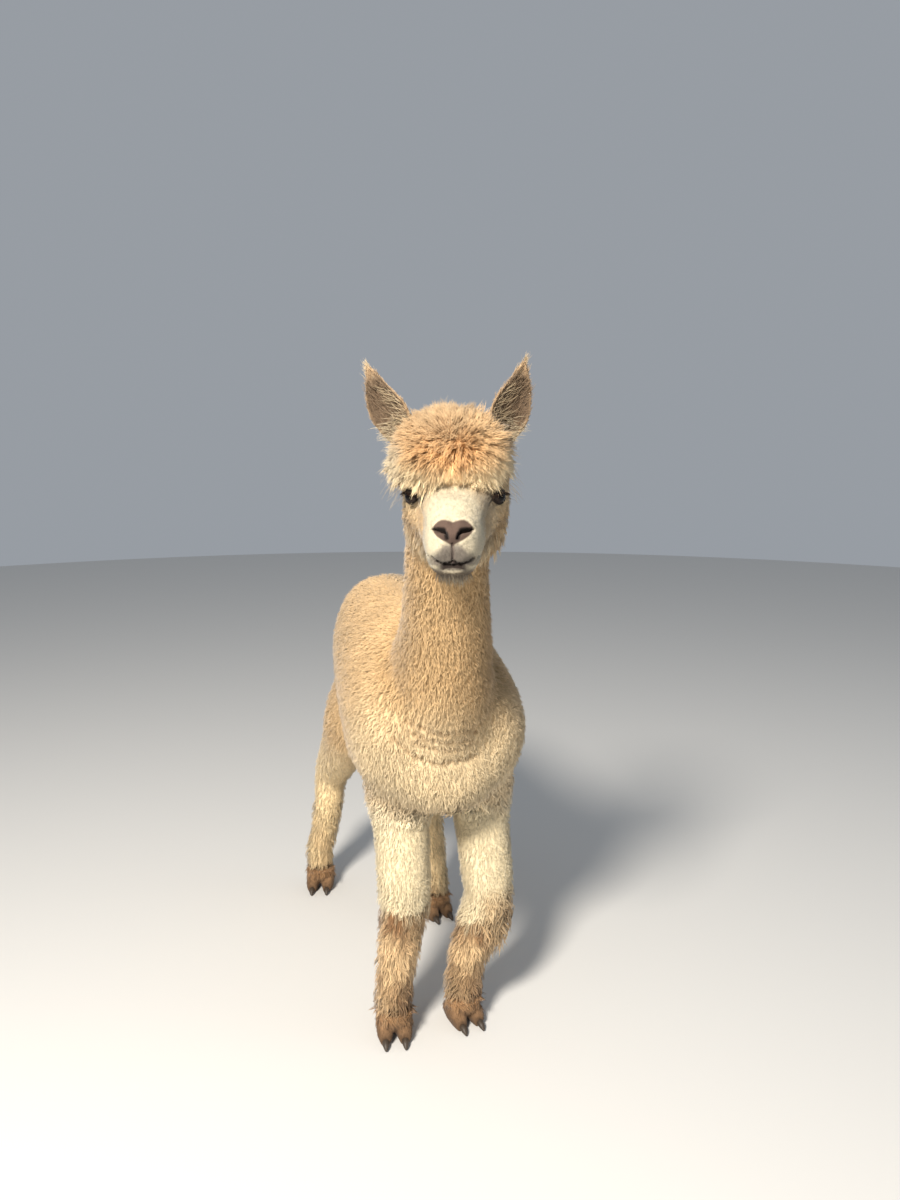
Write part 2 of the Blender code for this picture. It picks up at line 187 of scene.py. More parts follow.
def writeAttribute(mesh, name, kind, values, domain="POINT"):
    key = "vector" if kind in ("FLOAT_VECTOR", "FLOAT2") else "value"
    made = mesh.attributes.new(name, kind, domain)
    values = np.ascontiguousarray(values, np.int32 if kind == "INT" else np.float32)
    made.data.foreach_set(key, values.ravel())


def spread(values, pairs, rounds, share=0.5, where=None):  # neighbours share values along the edges
    values = np.array(values, float)
    flat = values.reshape(len(values), -1)
    count = np.bincount(pairs.ravel(), minlength=len(flat)).clip(1)
    for _ in range(rounds):
        for k in range(flat.shape[1]):
            total = np.bincount(pairs[:, 0], flat[pairs[:, 1], k], len(flat))
            total += np.bincount(pairs[:, 1], flat[pairs[:, 0], k], len(flat))
            moved = flat[:, k] + share * (total / count - flat[:, k])
            flat[:, k] = moved if where is None else np.where(where, moved, flat[:, k])
    return flat.reshape(values.shape)


def evaluatedMesh(obj):
    graph = bpy.context.evaluated_depsgraph_get()
    graph.update()
    return bpy.data.meshes.new_from_object(obj.evaluated_get(graph))


def applied(obj, *modifiers):  # each is (type, settings)
    for kind, settings in modifiers:
        made = obj.modifiers.new(kind.title(), kind)
        for key, value in settings.items():
            setattr(made, key, value)
    mesh = evaluatedMesh(obj)
    obj.modifiers.clear()
    obj.data = mesh
    return obj


def meshTree(mesh):
    return BVHTree.FromPolygons([v.co for v in mesh.vertices], [p.vertices[:] for p in mesh.polygons])


# The skin

legNames = ["front_leg_right", "front_leg_left", "hind_leg_right", "hind_leg_left"]
bodyNames = ["trunk", "neck", "head", "topknot", "tail"] + legNames
footNames = ["foot_front_right", "foot_front_left", "foot_hind_right", "foot_hind_left"]
earNames = ["ear_right", "ear_left"]
skinNames = bodyNames + footNames + earNames + ["lid"]
skinSize = {
    "cell": 0.0100,      # of the remesh that closes the CAD's cuts
    "overlap": 0.0008,   # each solid grows by this, so that the cuts close
    "smoothing": 6, "footSmoothing": 3,
    "seamSmoothing": 24, "seamFront": -0.32,  # where the neck meets the back, and how far forward that goes
    "footCell": 0.0034,
}
skinDepth = {  # from the coat's tips in to the skin
    "trunk": 0.0125, "neck": 0.0112, "head": 0.0080, "face": 0.0016, "topknot": 0.024, "tail": 0.016,
    "leg": 0.0100, "shin": 0.0095, "foot": 0.0006,
}


def owns(owner, *names):
    return np.isin(owner, [skinNames.index(n) for n in names])


def grownCopy(names, amount):
    bm = bmesh.new()
    for name in names:
        bm.from_mesh(nodes[name].data)
    bmesh.ops.remove_doubles(bm, verts=bm.verts, dist=1e-5)
    bm.normal_update()
    for v in bm.verts:
        v.co += v.normal * amount
    return fromBmesh("grown", bm)


def remeshed(obj, cell, rounds):
    return applied(obj, ("REMESH", {"mode": "VOXEL", "voxel_size": cell}),
                   ("SMOOTH", {"factor": 0.5, "iterations": rounds}))


def finer(mesh, wanted, rounds=1):  # halves every edge whose two ends are wanted
    for _ in range(rounds):
        bm = bmesh.new()
        bm.from_mesh(mesh)
        chosen = wanted(toHead([v.co for v in bm.verts]))
        bm.verts.ensure_lookup_table()
        edges = [e for e in bm.edges if chosen[e.verts[0].index] and chosen[e.verts[1].index]]
        bmesh.ops.subdivide_edges(bm, edges=edges, cuts=1, use_grid_fill=True)
        bmesh.ops.triangulate(bm, faces=[f for f in bm.faces if len(f.verts) > 4])
        bm.to_mesh(mesh)
        bm.free()
        setPoints(mesh, spread(points(mesh), ends(mesh), 2, where=wanted(toHead(points(mesh)))))


def nearestNodes(places, names):  # which of these CAD nodes each place is nearest to, as an index into names
    corners, faces, owner = [], [], []
    for k, name in enumerate(names):
        mesh, start = nodes[name].data, len(corners)
        corners += [v.co.copy() for v in mesh.vertices]
        faces += [[start + i for i in p.vertices] for p in mesh.polygons]
        owner += [k] * len(mesh.polygons)
    tree = BVHTree.FromPolygons(corners, faces)
    return np.array([owner[tree.find_nearest(Vector(p))[2]] for p in places])


def makeBodyForm():
    body = remeshed(grownCopy(bodyNames, skinSize["overlap"]), skinSize["cell"], skinSize["smoothing"])
    mesh = body.data
    place, pairs = points(mesh), ends(mesh)
    owner = nearestNodes(place, bodyNames)
    depth = np.array([skinDepth.get(n, skinDepth["leg"]) for n in bodyNames])[owner]
    depth = depth + (skinDepth["shin"] - depth) * ease(0.34, 0.22, place[:, 2]) * owns(owner, *legNames)
    forward, _, up = toHead(place).T
    onFace = ease(0.035, 0.085, forward + 0.35 * up) * owns(owner, "head")
    depth = depth + (skinDepth["face"] - depth) * onFace
    place = place - unit(spread(normals(mesh), pairs, 3)) * spread(depth, pairs, 5)[:, None]
    nearNeck, nearTrunk = [spread(owns(owner, name), pairs, 14) for name in ("neck", "trunk")]
    seam = (nearNeck * nearTrunk > 0.03) & (place[:, 1] > skinSize["seamFront"])
    setPoints(mesh, spread(place, pairs, skinSize["seamSmoothing"], where=seam))
    return body


def makeFeet():
    return [remeshed(grownCopy([name], -skinDepth["foot"]), skinSize["footCell"], skinSize["footSmoothing"])
            for name in footNames]


earSize = {
    "root": {-1: (-0.022, 0.0945, 0.092), 1: (-0.022, 0.079, 0.092)},  # forward, side, up on the head
    "tipOut": {-1: 0.52, 1: 0.36},    # how far each tip leans out
    "length": 0.134, "halfWidth": 0.0410, "wall": 0.0052, "rim": 0.0014,
    "bend": 0.012,                    # of the tip, back in
    "sunk": 0.42,                     # how much of the length goes on down into the head
    "outline": [(-0.42, 0.48), (0.0, 0.60), (0.14, 0.76), (0.28, 0.85), (0.40, 0.84), (0.54, 0.72),
                (0.68, 0.54), (0.80, 0.37), (0.90, 0.22), (0.96, 0.12), (1.0, 0.03)],
    "rings": 40, "around": 17,
}


def earFrame(side):  # root, axis to the tip, the way the hollow faces, and across
    forward, sideways, up = earSize["root"][side]
    root = headMiddle + headForward * forward + headLeft * side * sideways + headUp * up
    axis = (headUp * 0.92 + headLeft * side * earSize["tipOut"][side] - headForward * 0.02).normalized()
    hollow = headForward * 0.97 + headLeft * side * 0.18 - headUp * 0.10
    hollow = (hollow - axis * hollow.dot(axis)).normalized()
    return root, axis, hollow, axis.cross(hollow)


def earMiddle(side, t):  # the ear's middle line, half its width there, and the hollow's depth
    root, axis, _, _ = earFrame(side)
    wide = earSize["halfWidth"] * float(np.interp(t, *zip(*earSize["outline"])))
    middle = root + axis * earSize["length"] * t - headLeft * side * earSize["bend"] * t * t
    return middle, wide, wide * (0.66 - 0.25 * t)


def makeEar(side):
    around, sunk = earSize["around"], earSize["sunk"]
    _, _, hollow, across = earFrame(side)
    bm, loops = bmesh.new(), []
    for i in range(earSize["rings"]):
        t = -sunk + (1.0 + sunk) * (i / (earSize["rings"] - 1)) ** 0.85
        middle, wide, depth = earMiddle(side, t)
        wall, ripple = earSize["wall"] * (1 - 0.45 * max(t, 0)), 0.0012 * math.sin(9 * t + side)
        loop = []
        for k in list(range(around)) + list(range(around - 2, 0, -1)):
            inside = len(loop) >= around
            angle = math.pi * (k / (around - 1) - 0.5)
            bowl = depth * (1 - math.cos(angle)) - depth * 0.6
            thick = earSize["rim"] + wall * math.cos(angle) * (1 - 0.4 * math.cos(3 * angle)) if inside else 0
            far = wide * (0.94 if inside else 1.0) * math.sin(angle)
            loop.append(bm.verts.new(middle + across * (far + ripple) + hollow * (bowl + thick)))
        loops.append(loop)
    bridge(bm, loops)
    bm.faces.new(loops[0])
    bm.faces.new(loops[-1])
    bmesh.ops.remove_doubles(bm, verts=bm.verts, dist=1e-5)
    bmesh.ops.recalc_face_normals(bm, faces=bm.faces)
    return fromBmesh("ear", bm)


# The face, pressed and puffed out of the skin. "front" lines are (side, height), seen from a little above
# the muzzle's own axis, and "side" lines are (forward, up). All are mirrored.

faceView = {"lift": 24.0, "start": 0.32}
nostrilLine = [(0.0088, -0.0850), (0.0104, -0.0775), (0.0150, -0.0732), (0.0240, -0.0722), (0.0325, -0.0706)]
nostrilDeep = [(0.0150, -0.0718), (0.0235, -0.0712)]
mouthLine = [(0.000, -0.1215), (0.007, -0.1252), (0.016, -0.1262), (0.0265, -0.1220), (0.0340, -0.1165)]
faceFeatures = [
    # seen from, radius, amount outwards, line
    ("front", 0.0080, 0.0034, [(0.012, -0.058), (0.020, -0.055), (0.029, -0.060)]),
    ("front", 0.0045, 0.0014, [(0.016, -0.0905), (0.029, -0.0835)]),
    ("front", 0.0110, 0.0042, [(0.014, -0.101), (0.020, -0.109)]),
    ("front", 0.0060, 0.0026, [(0.000, -0.140), (0.012, -0.139)]),
    ("front", 0.0110, -0.0060, [(0.000, -0.156), (0.022, -0.150)]),
    ("front", 0.0018, -0.0034, [(0.000, -0.094), (0.000, -0.119)]),
    ("front", 0.0050, -0.0018, [(0.000, -0.056), (0.000, -0.064)]),
    ("front", 0.0026, -0.0110, nostrilLine),
    ("front", 0.0038, -0.0060, nostrilDeep),
    ("front", 0.0022, -0.0062, mouthLine),
    ("front", 0.0034, -0.0070, [(0.000, -0.1300), (0.014, -0.1290)]),
    ("side", 0.0026, -0.0045, [(0.188, -0.0435), (0.168, -0.049), (0.148, -0.053)]),
    ("side", 0.0170, -0.0040, [(0.094, -0.008), (0.125, -0.014)]),
    ("side", 0.0150, 0.0035, [(0.030, -0.034), (0.075, -0.036)]),
    ("side", 0.0060, -0.0020, [(0.100, -0.006), (0.118, -0.030), (0.120, -0.050)]),
]
faceFiner = {"headFrom": 0.005, "muzzleFrom": 0.150, "eyeReach": 0.034}
eyeSize = {
    "radius": 0.0170, "gaze": (0.68, 0.73, 0.06), "tilt": 13.0,
    "halfLength": 0.0182, "halfAbove": 0.0090, "halfBelow": 0.0088,
    "funnel": 0.75, "around": 64,
}


def onSkin(tree, view, a, b, side):  # a point of a feature's line, moved onto the skin, on the head
    if view == "front":
        c, s = math.cos(math.radians(faceView["lift"])), math.sin(math.radians(faceView["lift"]))
        way, rise = np.array([c, 0, s]), np.array([-s, 0, c])
        start = way * faceView["start"] + rise * b + np.array([0, a * side, 0])
        along = Vector(-way @ headAxes)
    else:
        start, along = [a, 0.25 * side, b], -headLeft * side
    hit = tree.ray_cast(Vector(fromHead(start)), along)[0]
    return toHead(hit) if hit else np.array(start)


def distanceToLine(places, corners):
    best, corners = np.full(len(places), 9.0), [np.array(corner) for corner in corners]
    for a, b in zip(corners[:-1], corners[1:]):
        ab = b - a
        t = np.clip((places - a) @ ab / max(ab @ ab, 1e-12), 0, 1)
        best = np.minimum(best, np.linalg.norm(places - a - t[:, None] * ab, axis=1))
    return best


# The wool's creases round the front of the neck's base, as (x, z)

creases = [
    [(-0.092, 0.752), (-0.055, 0.734), (-0.020, 0.728), (0.030, 0.734), (0.057, 0.748)],
    [(-0.084, 0.728), (-0.052, 0.712), (-0.020, 0.706), (0.024, 0.710), (0.050, 0.724)],
    [(-0.074, 0.706), (-0.040, 0.691), (-0.010, 0.687), (0.020, 0.690), (0.042, 0.700)],
    [(-0.118, 0.712), (-0.078, 0.676), (-0.034, 0.659), (0.022, 0.660), (0.052, 0.668)],
]


def creaseShare(place, width):
    far = np.min([distanceToLine(place[:, [0, 2]], line) for line in creases], axis=0)
    return np.exp(-(far / width) ** 2) * (place[:, 1] < -0.20) * (place[:, 2] < 0.80)


def sculptFace(mesh):
    tree, place = meshTree(mesh), points(mesh)
    lift = unit(spread(normals(mesh), ends(mesh), 4))
    local = toHead(place)
    near = np.nonzero(local[:, 0] > 0.0)[0]
    total = np.zeros(len(near))
    for view, radius, amount, line in faceFeatures:
        for side in sides:
            far = distanceToLine(local[near], [onSkin(tree, view, a, b, side) for a, b in line])
            add = amount * np.exp(-(far / radius) ** 2)
            if line[0][0] == 0:  # a line from the middle counts only on its own side
                add = np.where(local[near, 1] * side > 0, add, 0)
            total += add
    place[near] += lift[near] * total[:, None]
    setPoints(mesh, place - lift * 0.0038 * creaseShare(place, 0.0048)[:, None])


def eyeFrame(side):  # the eye's middle, and the directions to the nose, up and out of the eye
    out = Vector(headAxes.T @ (np.array(eyeSize["gaze"]) * (1, side, 1))).normalized()
    up = (headUp - out * headUp.dot(out)).normalized()
    nose = up.cross(out) * side
    turn = math.radians(eyeSize["tilt"])
    noseDown = (nose * math.cos(turn) - up * math.sin(turn)).normalized()
    upOut = (up * math.cos(turn) + nose * math.sin(turn)).normalized()
    return boxMiddle("eye_left" if side > 0 else "eye_right"), noseDown, upOut, out


def eyeWay(side, turn, off):  # the direction at that turn round the eye's axis and that angle off it
    _, nose, up, out = eyeFrame(side)
    return (nose * math.cos(turn) + up * math.sin(turn)) * math.sin(off) + out * math.cos(off)


def slitAngle(angle):  # how far from the eye's axis its opening reaches, for each direction round it
    c, s = np.cos(angle), np.sin(angle)
    half = np.where(s > 0, eyeSize["halfAbove"], eyeSize["halfBelow"])
    x, y = eyeSize["halfLength"] * c, half * s * np.abs(s) ** 0.2
    return np.hypot(x, y) / eyeSize["radius"], np.arctan2(y, x)


def eyeDistances(place, side):  # from the eye's middle, off its axis, and past its opening along the ball
    middle, *axes = eyeFrame(side)
    reach, bearing = slitAngle(np.linspace(-np.pi, np.pi, 241))
    local = (place - np.array(middle)) @ np.array(axes).T
    far = np.linalg.norm(local, axis=1)
    off = np.arccos(np.clip(local[:, 2] / far, -1, 1))
    edge = np.interp(np.arctan2(local[:, 1], local[:, 0]), bearing, reach)
    return far, off, (off - edge) * eyeSize["radius"]


def openEyes(mesh):  # sinks the skin behind each eye's opening and keeps it clear of the ball round it
    place, radius = points(mesh), eyeSize["radius"]
    for side in sides:
        middle = np.array(eyeFrame(side)[0])
        far, off, excess = eyeDistances(place, side)
        most = radius + 0.0014 + eyeSize["funnel"] * np.clip(excess, 0, None)
        least = np.where(excess < 0.0085, 0, radius + 0.0006)
        goal = np.clip(far, least, np.maximum(most, least))
        goal = np.where(excess < 0.0060, np.minimum(goal, radius - 0.0030), goal)
        near, moved = far < radius + 0.024, middle + (place - middle) * (goal / far)[:, None]
        place = np.where((near & (off < 2.2))[:, None], moved, place)
        place = spread(place, ends(mesh), 26, where=near & (excess > 0.0075))
    setPoints(mesh, place)


lidRings = [  # how far past the opening, as an angle, and how proud of the ball
    (-0.07, -0.0016), (-0.02, 0.0003), (0.03, 0.0010), (0.09, 0.0013), (0.15, 0.0011), (0.21, 0.0002),
    (0.28, 0.0009), (0.36, 0.0009), (0.46, None)]


def makeLid(skinTree, side):  # a rim, lid and fold round the eye, whose outer edge dives under the skin
    around, middle = eyeSize["around"], eyeFrame(side)[0]
    reach, bearing = slitAngle(np.arange(around) * 2 * math.pi / around)
    bm, loops = bmesh.new(), []
    for more, proud in lidRings:
        loop = []
        for k in range(around):
            spot = middle + eyeWay(side, bearing[k], reach[k] + more) * (eyeSize["radius"] + (proud or 0))
            if proud is None:
                near, normal, _, _ = skinTree.find_nearest(spot)
                spot = near - normal * 0.0025
            loop.append(bm.verts.new(spot))
        loops.append(loop)
    bridge(bm, loops)
    bmesh.ops.recalc_face_normals(bm, faces=bm.faces)
    if sum(f.normal.dot(f.calc_center_median() - middle) for f in bm.faces) < 0:
        bmesh.ops.reverse_faces(bm, faces=bm.faces)
    return fromBmesh("lid", bm)


def makeSkin():
    bodyForm = makeBodyForm()
    mesh = bodyForm.data
    eyes = [toHead(eyeFrame(side)[0]) for side in sides]
    nearEye = lambda h: np.min([np.linalg.norm(h - e, axis=1) for e in eyes], axis=0) < faceFiner["eyeReach"]
    finer(mesh, lambda h: (h[:, 0] > faceFiner["headFrom"]) & (h[:, 2] < 0.062) & (h[:, 2] > -0.12))
    for ahead in (0, 0.02):
        finer(mesh, lambda h: (h[:, 0] > faceFiner["muzzleFrom"] + ahead) | nearEye(h))
    finer(mesh, lambda h: creaseShare(fromHead(h), 0.030) > 0.35, 2)
    sculptFace(mesh)
    openEyes(mesh)
    tree = meshTree(mesh)
    added = [makeLid(tree, side) for side in sides] + makeFeet() + [makeEar(side) for side in sides]
    print("skin faces:", len(mesh.polygons), [len(o.data.polygons) for o in added])
    owner = list(nearestNodes(points(mesh), bodyNames))
    for name, obj in zip(["lid", "lid"] + footNames + earNames, added):
        owner += [skinNames.index(name)] * len(obj.data.vertices)
    bm = bmesh.new()
    for obj in [bodyForm] + added:
        bm.from_mesh(obj.data)
        bpy.data.objects.remove(obj, do_unlink=True)
    skin = fromBmesh("skin", bm)
    skin.data.shade_smooth()
    return skin, np.array(owner)


skin, skinOwner = makeSkin()


# What each point of the skin belongs to, and how its wool lies there

coatParts = {  # how long each part's wool is, as a share of the trunk's
    "trunkFrontRight": 1.0, "trunkFrontLeft": 1.0, "trunkRearRight": 1.0, "trunkRearLeft": 1.0,
    "neckRight": 0.95, "neckLeft": 0.95, "frontLegs": 0.72, "hindLegs": 0.80, "tail": 1.10, "cheeks": 0.80,
    "face": 0.42, "crown": 0.80, "ears": 0.42, "feet": 0.12, "lids": 0.1, "frontShins": 0.86,
    "hindShins": 0.76, "brisket": 1.45,
}
partNames = list(coatParts)
lieSize = {
    "trunkSplit": (0.006, 0.120),    # x and y where the trunk's four coats meet
    "whorl": (0.034, 0.004, 0.098),  # forward, side and up of the crown's whorl on the head
    "faceFrom": 0.064,               # forward plus half of up, from where the hair is short
    "swirl": 0.20,
}
markings = {
    # the bare nose's upper and lower edges, as (half width, height) in the front view
    "noseTop": [(0.0, -0.0590), (0.005, -0.0572), (0.0120, -0.0552), (0.0180, -0.0552), (0.0240, -0.0580),
                (0.0290, -0.0625), (0.0325, -0.0680), (0.036, -0.080)],
    "noseBottom": [(0.0, -0.0985), (0.003, -0.0955), (0.009, -0.0922), (0.017, -0.0880), (0.025, -0.0828),
                   (0.030, -0.0775), (0.0335, -0.0710), (0.036, -0.060)],
    "muzzleFrom": 0.150,              # forward on the head
    "cuff": {-1: 0.300, 1: 0.262},    # each front leg's clean wool ends at this height
    "frontLegs": 0.05, "mudTop": 0.150, "creaseWidth": 0.0056,
}


def frontHeight(local):  # in the front view of the face
    lift = math.radians(faceView["lift"])
    return local[:, 2] * math.cos(lift) - local[:, 0] * math.sin(lift)


def noseShare(local):
    wide, height = np.abs(local[:, 1]), frontHeight(local)
    over = np.interp(wide, *zip(*markings["noseTop"])) - height
    under = height - np.interp(wide, *zip(*markings["noseBottom"]))
    return ease(-0.0018, 0.0024, np.minimum(over, under)) * (local[:, 0] > markings["muzzleFrom"])


def shortShare(local, width=0.0005):  # 1 where the head's hair is short, 0 where it is wool
    far = local[:, 0] + 0.5 * local[:, 2] - lieSize["faceFrom"] - 0.042 * ease(-0.012, -0.050, local[:, 2])
    return ease(-width, width, far)


def archShare(local):  # the forehead's white runs up under the fringe's middle
    return ease(-0.002, 0.003, 0.060 - 24 * local[:, 1] ** 2 - local[:, 2]) * (local[:, 0] > 0.03)


def cuffOf(place):  # how far below its leg's cuff each place is
    x, y, z = place.T
    low = np.where(x < 0, markings["cuff"][-1], markings["cuff"][1] + 0.5 * (x - 0.10))
    return np.where(y < markings["frontLegs"], low - z, 0.26 - z)


def partsOf(place, owner):
    x, y, z = place.T
    local = toHead(place)
    arch, below = archShare(local) > 0.5, cuffOf(place) > 0
    short = owns(owner, "head") & (arch | (shortShare(local) > 0.5)) | owns(owner, "topknot") & arch
    hem = 0.548 + 0.012 * np.cos(38 * x) + 0.010 * np.sin(61 * x)
    brisket = (np.abs(x + 0.004) < 0.108) & (np.abs(y + 0.18) < 0.14) & (z < hem)
    atLeft, atRear = x > lieSize["trunkSplit"][0], y > lieSize["trunkSplit"][1]
    onTrunk, onNeck = owns(owner, "trunk"), owns(owner, "neck")
    onFront, onHind = owns(owner, *legNames[:2]), owns(owner, *legNames[2:])
    choices = [
        ((noseShare(local) > 0.45) & owns(owner, "head"), "lids"), (onTrunk & brisket, "brisket"),
        (onTrunk & ~atRear & ~atLeft, "trunkFrontRight"), (onTrunk & ~atRear, "trunkFrontLeft"),
        (onTrunk & ~atLeft, "trunkRearRight"), (onTrunk, "trunkRearLeft"),
        (onNeck & (local[:, 1] <= 0), "neckRight"), (onNeck, "neckLeft"),
        (onFront & below, "frontShins"), (onFront, "frontLegs"),
        (onHind & below, "hindShins"), (onHind, "hindLegs"),
        (owns(owner, "tail"), "tail"), (short, "face"), (owns(owner, "head"), "cheeks"),
        (owns(owner, "topknot"), "crown"), (owns(owner, *earNames), "ears"),
        (owns(owner, *footNames), "feet"),
    ]
    return np.select([where for where, _ in choices], [partNames.index(name) for _, name in choices],
                     partNames.index("lids"))


def inParts(part, *names):
    return np.isin(part, [partNames.index(n) for n in names])


def swirl(place, scale):  # a smooth wandering direction
    x, y, z = (place * scale).T
    return np.stack([np.sin(y + 1.3 * z) + np.sin(2.1 * z - 1.7 * x),
                     np.sin(z + 1.7 * x) + np.sin(1.9 * x - 2.3 * y),
                     np.sin(x + 1.1 * y) + np.sin(2.3 * y - 1.3 * z)], axis=1) * 0.5


def crownWay(local):  # from the whorl at the crown's front outwards, and a little down
    way = unit((local - np.array(lieSize["whorl"])) * np.array([1, 0.62, 1]), 0.022)
    low = ease(0.090, 0.035, local[:, 2:3])
    way = way * (1 - 0.7 * low) + np.array([0.10, 0, 0]) * low
    return way @ headAxes - (0.25 + 0.95 * low) * np.array([0, 0, 1.0])


def liesOf(place, normal, part):
    local = toHead(place)
    forward, left, up = headAxes
    side, down = np.sign(local[:, 1:2]), np.array([0, 0, -1.0])
    away = np.sign(place[:, :1] - lieSize["trunkSplit"][0]) * np.clip(normal[:, 2:], 0, 1)
    trunk = np.array([0, 0.32, -1.0]) + away * np.array([1.3, 0, 0])
    trunk[:, 1] = (trunk[:, 1] + 0.8 * np.clip(-normal[:, 2], 0, 1)) * ease(-0.30, -0.12, place[:, 1])
    ways = {
        "cheeks": -forward * 0.45 - np.array([0, 0, 0.95]) + left * side * 0.1,
        "face": -forward * 0.9 + left * side * 0.15 + up * np.clip(local[:, 2:] / 0.04, -0.9, 0.5),
        "crown": crownWay(local),
        "ears": np.where(side > 0, np.array(earFrame(1)[1]), np.array(earFrame(-1)[1])),
        "feet": np.array([0, -0.5, -0.8]), "brisket": np.array([0, -0.25, -1.0]),
    }
    ways = [trunk if "trunk" in name else ways.get(name, down) for name in partNames]
    lies = np.choose(part[:, None], ways)
    lies += swirl(place, 26) * lieSize["swirl"] * ~inParts(part, "face", "crown", "ears")[:, None]
    return unit(lies - normal * np.sum(lies * normal, axis=1, keepdims=True), 1e-6)


def fluffOf(place, part):  # how long the wool is, as a share of the trunk's
    x, y, z = place.T
    forward, side, up = toHead(place).T
    plain = {name: np.full(len(place), share) for name, share in coatParts.items()}
    hem = ease(0.600, 0.560, z) * ease(-0.02, -0.10, y)
    knee = ease(0.085, 0.115, x) * ease(0.075, 0.02, np.abs(z - 0.245))
    bumps = np.sin(97 * z + 60 * x) * np.sin(83 * y - 71 * x + 1.0)
    jowl = ease(0.0, 0.03, -side) * ease(-0.02, -0.05, up) * ease(0.07, 0.03, forward)
    beard = ease(-0.085, -0.105, up) * ease(0.0, 0.04, forward)
    toEye = np.min([np.linalg.norm(place - np.array(eyeFrame(side)[0]), axis=1) for side in sides], axis=0)
    plain["trunkFrontRight"] = plain["trunkFrontLeft"] = 0.90 + 0.75 * hem
    plain["neckRight"][z > 1.05] = plain["neckLeft"][z > 1.05] = 0.90
    plain["frontLegs"] += 0.45 * ease(-0.050, -0.012, cuffOf(place)) * (y < markings["frontLegs"]) + knee
    plain["frontShins"] += 1.25 * knee + 0.35 * ease(0.13, 0.06, z)
    plain["hindLegs"] += 0.30 * bumps * ease(0.50, 0.40, z)
    plain["feet"] += 0.95 * ease(0.004, 0.070, z)
    toFace = ease(-0.06, lieSize["faceFrom"] + 0.04, forward + 0.5 * up)
    plain["cheeks"] += 0.40 * jowl + 0.35 * beard - 0.44 * toFace
    plain["face"] -= 0.20 * ease(0.08, 0.20, forward)
    plain["face"] *= 1 - 0.5 * ease(0.042, 0.028, toEye)
    return np.choose(part, list(plain.values())) * (1 - 0.30 * creaseShare(place, markings["creaseWidth"]))


# An unwrap of the skin: each of its tubes gives an angle round it and a share along it

tubes = {
    # owners, axis along it, way that angles start from, part of the width it takes: (first, share)
    "trunk": (["trunk"], (0, 1, 0), (0, 0, 1), (0, 1)),
    "neck": (["neck"], (0, 0.25, -1), (0, 1, 0), (0, 1)),
    "head": (["head", "lid"], tuple(headForward), tuple(headUp), (0, 1)),
    "crown": (["topknot"], tuple(headForward), tuple(-headUp), (0, 1)),
    "tail": (["tail"], (0, 0, 1), (0, 1, 0), (0, 1)),
}
for names, width in ((legNames, 2), (footNames, 4)):
    for k, name in enumerate(names):
        tubes[name] = ([name], (0, 0, 1), (0, 1, 0), (k % width, 1 / width))
for k, name in enumerate(earNames):
    tubes[name] = ([name], tuple(earFrame(sides[k])[1]), tuple(-headForward), (k, 0.5))
tubeNames = list(tubes)
tubeSteps = 16


def measureTubes(place, owner):
    made = []
    for owners, axis, start, (first, share) in tubes.values():
        inside = place[owns(owner, *owners)]
        a = np.array(axis) / np.linalg.norm(axis)
        b = unit(np.array(start) - a * np.dot(start, a))
        axes = np.array([a, b, np.cross(a, b)])
        along, two = inside @ a, inside @ axes[1:].T
        low, high = along.min(), along.max()
        step = np.clip(((along - low) / (high - low) * tubeSteps).astype(int), 0, tubeSteps - 1)
        count = np.bincount(step, minlength=tubeSteps).clip(1)
        middles = np.stack([np.bincount(step, two[:, k], tubeSteps) / count for k in (0, 1)], axis=1)
        made.append((axes, low, high, middles, first, share))
    return made


def turnAndShare(where, axes, low, high, middles):
    along = (where @ axes[0] - low) / (high - low)
    steps = (np.arange(tubeSteps) + 0.5) / tubeSteps
    two = where @ axes[1:].T - np.stack([np.interp(along, steps, middles[:, j]) for j in (0, 1)], axis=1)
    return np.arctan2(two[:, 1], two[:, 0]), along


def unwrapped(place, tube, centre=None):  # where each place falls on the unwrap, 0 to 1
    flat = np.zeros((len(place), 2))
    for k, (*shape, first, share) in enumerate(tubeShapes):
        mine = tube == k
        turn, along = turnAndShare(place[mine], *shape)
        if centre is not None:  # keeps a face that crosses the seam in one piece
            about, _ = turnAndShare(centre[mine], *shape)
            turn = about + (turn - about + np.pi) % (2 * np.pi) - np.pi
        flat[mine, 0] = ((turn / (2 * np.pi) + 0.5) + first) * share
        flat[mine, 1] = along
    return flat * 0.94 + 0.03


def tubeOf(owner):
    table = np.zeros(len(skinNames), int)
    for k, (owners, *_) in enumerate(tubes.values()):
        table[[skinNames.index(n) for n in owners]] = k
    return table[owner]


# Markings: each point's colour, from where it is on the animal, with painted shade and painted light in
# places

def washed(colours, *layers):  # each is a colour, the share that it takes and, if it isn't 1, its brightness
    for colour, share, *bright in layers:
        other = (wool[colour] if isinstance(colour, str) else colour) * (bright[0] if bright else 1)
        colours = colours + (other - colours) * np.asarray(share)[:, None]
    return colours


def lineShare(places, line, width, power=2):
    return np.exp(-(distanceToLine(places, line) / width) ** power)


